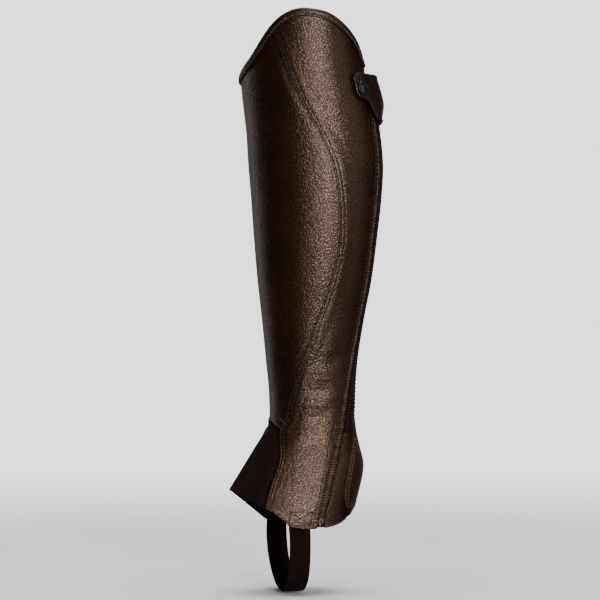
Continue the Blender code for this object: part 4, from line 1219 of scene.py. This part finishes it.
def leather(name, groups, dark, light, cell, grain_depth, wrinkle_depth, roughness, coat):
    """Grained leather: pebbles whose furrows are darkened as painted shade, fine wrinkles and slow clouds
    of tone.
    """
    made, tree, shader, place = started(name)
    flat = add_node(tree, "UVMap", {}, uv_map="laid_flat")[0]
    weights = add_node(tree, "Attribute", {}, attribute_name="relief")["Color"]
    grain = shared(tree, groups["grain"], Place=place, Cell=cell)
    lines = shared(tree, groups["wrinkles"], Flat=flat, Weights=weights)
    clouds, fine = (shared(tree, groups["clouds"], Place=place, Scale=scale)[0] for scale in (24.0, 150.0))
    # Colour: the leather's own slow cloudy tone, plus painted shade that darkens the grain's furrows
    tone = weighted(tree, (clouds, 0.45), (fine, 0.2), (grain["Tone"], 0.35))
    fill(tree, shader, {
        "Base Color": mixed(tree, tone, dark, light),
        "Roughness": plus(tree, times(tree, grain["Tone"], -0.10), roughness + 0.06),
        "Specular IOR Level": ramp(tree, grain["Tone"], 0.0, 1.0, 0.32, 0.64),
        "Specular Tint": (1.0, 0.72, 0.52, 1.0),
        "Coat Weight": coat, "Coat Roughness": 0.38, "Coat Tint": (1.0, 0.9, 0.82, 1.0),
        "Normal": bumped(tree, weighted(
            tree, (grain["Height"], grain_depth), (lines["Height"], wrinkle_depth))),
    })
    return made


def woven(name, groups, dark, light, rib, strand, slant, depth, roughness):
    """Ribbed elastic or tape with fuzz and slow clouds of tone."""
    made, tree, shader, place = started(name)
    flat = add_node(tree, "UVMap", {}, uv_map="laid_flat")[0]
    ribs = shared(tree, groups["weave"], Flat=flat, Rib=rib, Thread=strand, Slant=slant)[0]
    clouds = shared(tree, groups["clouds"], Place=place, Scale=60.0)[0]
    fuzz = noise(tree, place, 1800.0, 3.0)[0]
    tone = weighted(tree, (ribs, 0.55), (clouds, 0.25), (fuzz, 0.25))
    fill(tree, shader, {
        "Base Color": mixed(tree, tone, dark, light), "Roughness": roughness,
        "Specular IOR Level": 0.08, "Sheen Weight": 0.01, "Sheen Roughness": 0.5,
        "Normal": bumped(tree, weighted(tree, (ribs, depth), (fuzz, 0.25 * depth))),
    })
    return made


def plated(name, groups, dark, light, roughness, metallic):
    """Plated or enamelled metal, or moulded plastic, with faint scratches and cloudy tone."""
    made, tree, shader, place = started(name)
    clouds = shared(tree, groups["clouds"], Place=place, Scale=180.0)[0]
    marks = noise(tree, scaled(tree, place, (1.0, 1.0, 6.0)), 900.0, 4.0)[0]
    fill(tree, shader, {
        "Base Color": mixed(tree, clouds, dark, light), "Metallic": metallic,
        "Roughness": ramp(tree, marks, 0.3, 0.7, roughness, roughness + 0.15),
        "Normal": bumped(tree, times(tree, marks, 0.01)),
    })
    return made


def thread(name, groups, dark, light, roughness):
    """Waxed thread, darker in its twist."""
    made, tree, shader, place = started(name)
    strands = noise(tree, place, 1500.0)[0]
    fill(tree, shader, {
        "Base Color": mixed(tree, ramp(tree, strands, 0.35, 0.65), dark, light),
        "Roughness": roughness, "Normal": bumped(tree, times(tree, strands, 0.08)),
    })
    return made


def suede(name, groups, dark, light):
    """The leather's inside: short dark nap."""
    made, tree, shader, place = started(name)
    clouds = shared(tree, groups["clouds"], Place=place, Scale=70.0)[0]
    nap = noise(tree, place, 2200.0, 3.0)[0]
    fill(tree, shader, {
        "Base Color": mixed(tree, times(tree, plus(tree, clouds, nap), 0.5), dark, light),
        "Roughness": 0.95, "Specular IOR Level": 0.1,
        "Normal": bumped(tree, times(tree, nap, 0.12)),
    })
    return made


def pale_floor(name, groups, dark, light):
    """Matt pale floor that fades away with distance from its middle."""
    made, tree, shader, place = started(name)
    clouds = shared(tree, groups["clouds"], Place=place, Scale=3.0)[0]
    away = add_node(tree, "VectorMath", {0: place}, operation="LENGTH")["Value"]
    fill(tree, shader, {
        "Base Color": mixed(tree, clouds, dark, light), "Roughness": 0.9, "Specular IOR Level": 0.1,
        "Alpha": ramp(tree, away, 0.45, 1.6, 1.0, 0.0),
    })
    return made


def pale_backdrop(name):
    """An evenly lit pale backdrop, all round."""
    made, tree, shader, _ = started(name)
    fill(tree, shader, {"Base Color": (0.0, 0.0, 0.0, 1.0), "Emission Color": (1.0, 1.0, 1.0, 1.0),
                        "Emission Strength": BACKDROP})
    return made


# Columns: name, maker, darkest and lightest tone, then the maker's own numbers: leather's
# cell in mm, grain and wrinkle depth, roughness and coat, the weave's rib and thread pitch
# in mm, slant, depth and roughness, a plating's roughness and metal, a thread's roughness
FINISHES = (
    ("grained_leather", leather, (0.0032, 0.0008, 0.0002), (0.0150, 0.0048, 0.0016),
     (2.2, 0.18, 0.11, 0.36, 0.03)),
    ("smooth_leather", leather, (0.0070, 0.0021, 0.0007), (0.0180, 0.0066, 0.0027),
     (1.4, 0.05, 0.09, 0.42, 0.03)),
    ("binding_leather", leather, (0.0032, 0.0008, 0.0002), (0.0110, 0.0036, 0.0013),
     (1.8, 0.09, 0.0, 0.42, 0.04)),
    ("leather_inside", suede, (0.0016, 0.0007, 0.0004), (0.010, 0.0045, 0.0024), ()),
    ("elastic", woven, (0.0034, 0.0005, 0.0001), (0.0105, 0.0024, 0.0006), (1.5, 0.8, 0.0, 0.22, 0.85)),
    ("zip_tape", woven, (0.005, 0.0019, 0.0008), (0.020, 0.0085, 0.0040), (0.9, 0.7, 0.6, 0.14, 0.85)),
    ("dark_metal", plated, (0.08, 0.072, 0.068), (0.16, 0.15, 0.14), (0.30, 1.0)),
    ("snap_enamel", plated, (0.004, 0.004, 0.005), (0.009, 0.009, 0.011), (0.14, 0.0)),
    ("tooth_plastic", plated, (0.036, 0.017, 0.008), (0.090, 0.050, 0.028), (0.28, 0.0)),
    ("dark_thread", thread, (0.003, 0.0008, 0.0003), (0.009, 0.003, 0.0012), (0.8,)),
    ("sewing_thread", thread, (0.007, 0.0026, 0.0012), (0.024, 0.011, 0.0055), (0.6,)),
    ("pale_thread", thread, (0.034, 0.016, 0.008), (0.095, 0.050, 0.029), (0.5,)),
    # Near-black finish for the painted shade in the needle holes
    ("needle_hole", thread, (0.002, 0.001, 0.001), (0.006, 0.003, 0.002), (0.9,)),
    ("pale_floor", pale_floor, (0.80, 0.80, 0.80), (0.84, 0.84, 0.84), ()),
)


# The stage

def stage(floor_finish):
    """Pale floor, soft lights placed about the photo's direction, and the camera."""
    right = Vector((math.cos(SWING), -math.sin(SWING), 0.0))
    deep = Vector((math.sin(SWING), math.cos(SWING), 0.0))
    up = Vector((0.0, 0.0, 1.0))
    disc, dome = bmesh.new(), bmesh.new()
    turn = np.linspace(0.0, 2.0 * math.pi, FLOOR_SIDES, endpoint=False)
    rim = np.stack([np.cos(turn), np.sin(turn), 0.0 * turn], -1) * FLOOR_REACH
    disc.faces.new([disc.verts.new(place) for place in rim.tolist()])
    bmesh.ops.create_uvsphere(dome, u_segments=48, v_segments=24, radius=BACKDROP_RADIUS)
    for name, form, finish, hidden in (
        ("floor", disc, floor_finish, ("glossy",)),
        ("backdrop", dome, pale_backdrop("pale_backdrop"), ("diffuse", "glossy", "transmission", "shadow")),
    ):
        mesh = bpy.data.meshes.new(name)
        form.to_mesh(mesh)
        form.free()
        mesh.materials.append(finish)
        made = placed(name, mesh)
        for ray in hidden:
            setattr(made, "visible_" + ray, False)
    bpy.data.objects["floor"].location = (0.0, 0.0, FLOOR_HEIGHT)

    world = bpy.data.worlds.new("studio")
    world.use_nodes = True
    tree = world.node_tree
    sky = tree.nodes.new("ShaderNodeTexCoord").outputs["Generated"]
    towards = add_node(tree, "VectorMath", {0: sky, 1: deep}, operation="DOT_PRODUCT")["Value"]
    fill(tree, tree.nodes["Background"], {
        "Color": (1.0, 1.0, 1.0, 1.0),
        "Strength": ramp(tree, towards, 0.70, 0.98, WORLD_FRONT, WORLD_BEHIND),
    })
    bpy.context.scene.world = world

    for name, across, back, high, size, power in LIGHTS:
        data = bpy.data.lights.new(name, "AREA")
        data.shape = "RECTANGLE"
        data.size, data.size_y = size
        data.energy = power
        lamp = placed(name, data)
        lamp.location = right * across + deep * back + up * high
        lamp.visible_camera = False
        lamp.rotation_euler = (up * AIM - lamp.location).to_track_quat("-Z", "Y").to_euler()

    data = bpy.data.cameras.new("camera")
    data.lens = LENS
    data.sensor_width = 36.0
    data.clip_end = 100.0
    camera = placed("camera", data)
    camera.location = right * CAMERA[0] - deep * CAMERA[1] + up * CAMERA[2]
    camera.rotation_euler = (math.pi / 2.0, 0.0, -SWING)
    bpy.context.scene.camera = camera


def main():
    """Finishes, pieces, sewing and stage, each piece riding on the chap."""
    groups = {"grain": grain_group(), "wrinkles": wrinkle_group(), "weave": weave_group(),
              "clouds": cloud_group()}
    of = {name: make(name, groups, dark, light, *numbers) for name, make, dark, light, numbers in FINISHES}
    grained, smooth = ([of[name], of["leather_inside"]] for name in ("grained_leather", "smooth_leather"))
    whole = panels(grained, smooth, of["elastic"])
    whole.update({
        "zip_tape_outer": zip_tape("zip_tape_outer_woven", of["zip_tape"], -1),
        "zip_tape_inner": zip_tape("zip_tape_inner_woven", of["zip_tape"], 1),
        "top_binding": top_binding(of["binding_leather"]),
        "snap_tab": snap_tab(grained),
        "snap_cap": snap_cap(of["snap_enamel"]),
        "foot_strap": foot_strap(of["elastic"]),
    })
    for node, piece in whole.items():
        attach(piece, "chap")
        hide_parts(node)

    rows, edges = leather_rows()
    boxed, bound = box_and_cross(), binding_rows()
    tacks = zigzag(*TACK, 6, 2.6, outer_lift) + zigzag(*KNOT, 5, 2.2, lambda a, h: flush(a, h) + 0.4)
    small, moulded = {}, of["tooth_plastic"]
    # Columns: piece, rows, stitch length, thread radius, finish, slot
    for name, paths, pitch, size, finish, slot in (
        ("leather_stitching", rows, PITCH, THREAD, "sewing_thread", "grained_leather"),
        ("edge_stitching", edges, PITCH, THREAD, "pale_thread", "grained_leather"),
        ("strap_stitching", boxed, 3.0, 0.40, "sewing_thread", "grained_leather"),
        ("tab_stitching", tab_rows(), 3.0, THREAD, "sewing_thread", "grained_leather"),
        ("binding_stitching", bound, 3.4, THREAD, "pale_thread", "binding_leather"),
        ("elastic_stitching", elastic_rows(), 3.2, THREAD, "dark_thread", "elastic"),
        ("seam_tacks", tacks, 6.0, 0.45, "sewing_thread", "grained_leather"),
    ):
        small[name] = (add_mesh(name, *stitches(paths, pitch, size), of[finish]), slot)
    # Painted shade: dark domes at every needle hole of the leather, edge, binding and strap rows
    holes = hole_shade_domes("hole_shade_domes", rows + edges + bound + boxed, of["needle_hole"])
    small["hole_shade_domes"] = (holes, "grained_leather")
    small["zip_teeth_outer"] = (zip_teeth("zip_teeth_outer", moulded, -1), "dark_metal")
    small["zip_teeth_inner"] = (zip_teeth("zip_teeth_inner", moulded, 1), "dark_metal")
    small["zip_end_stops"] = (zip_stops(moulded), "dark_metal")
    for piece, slot in small.values():
        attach(piece, "chap")

    for node in ("zip_slider", "zip_pull", "snap_socket", "snap_stud"):
        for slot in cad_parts[node].material_slots:
            slot.material = of["dark_metal"]

    stage(of["pale_floor"])


main()
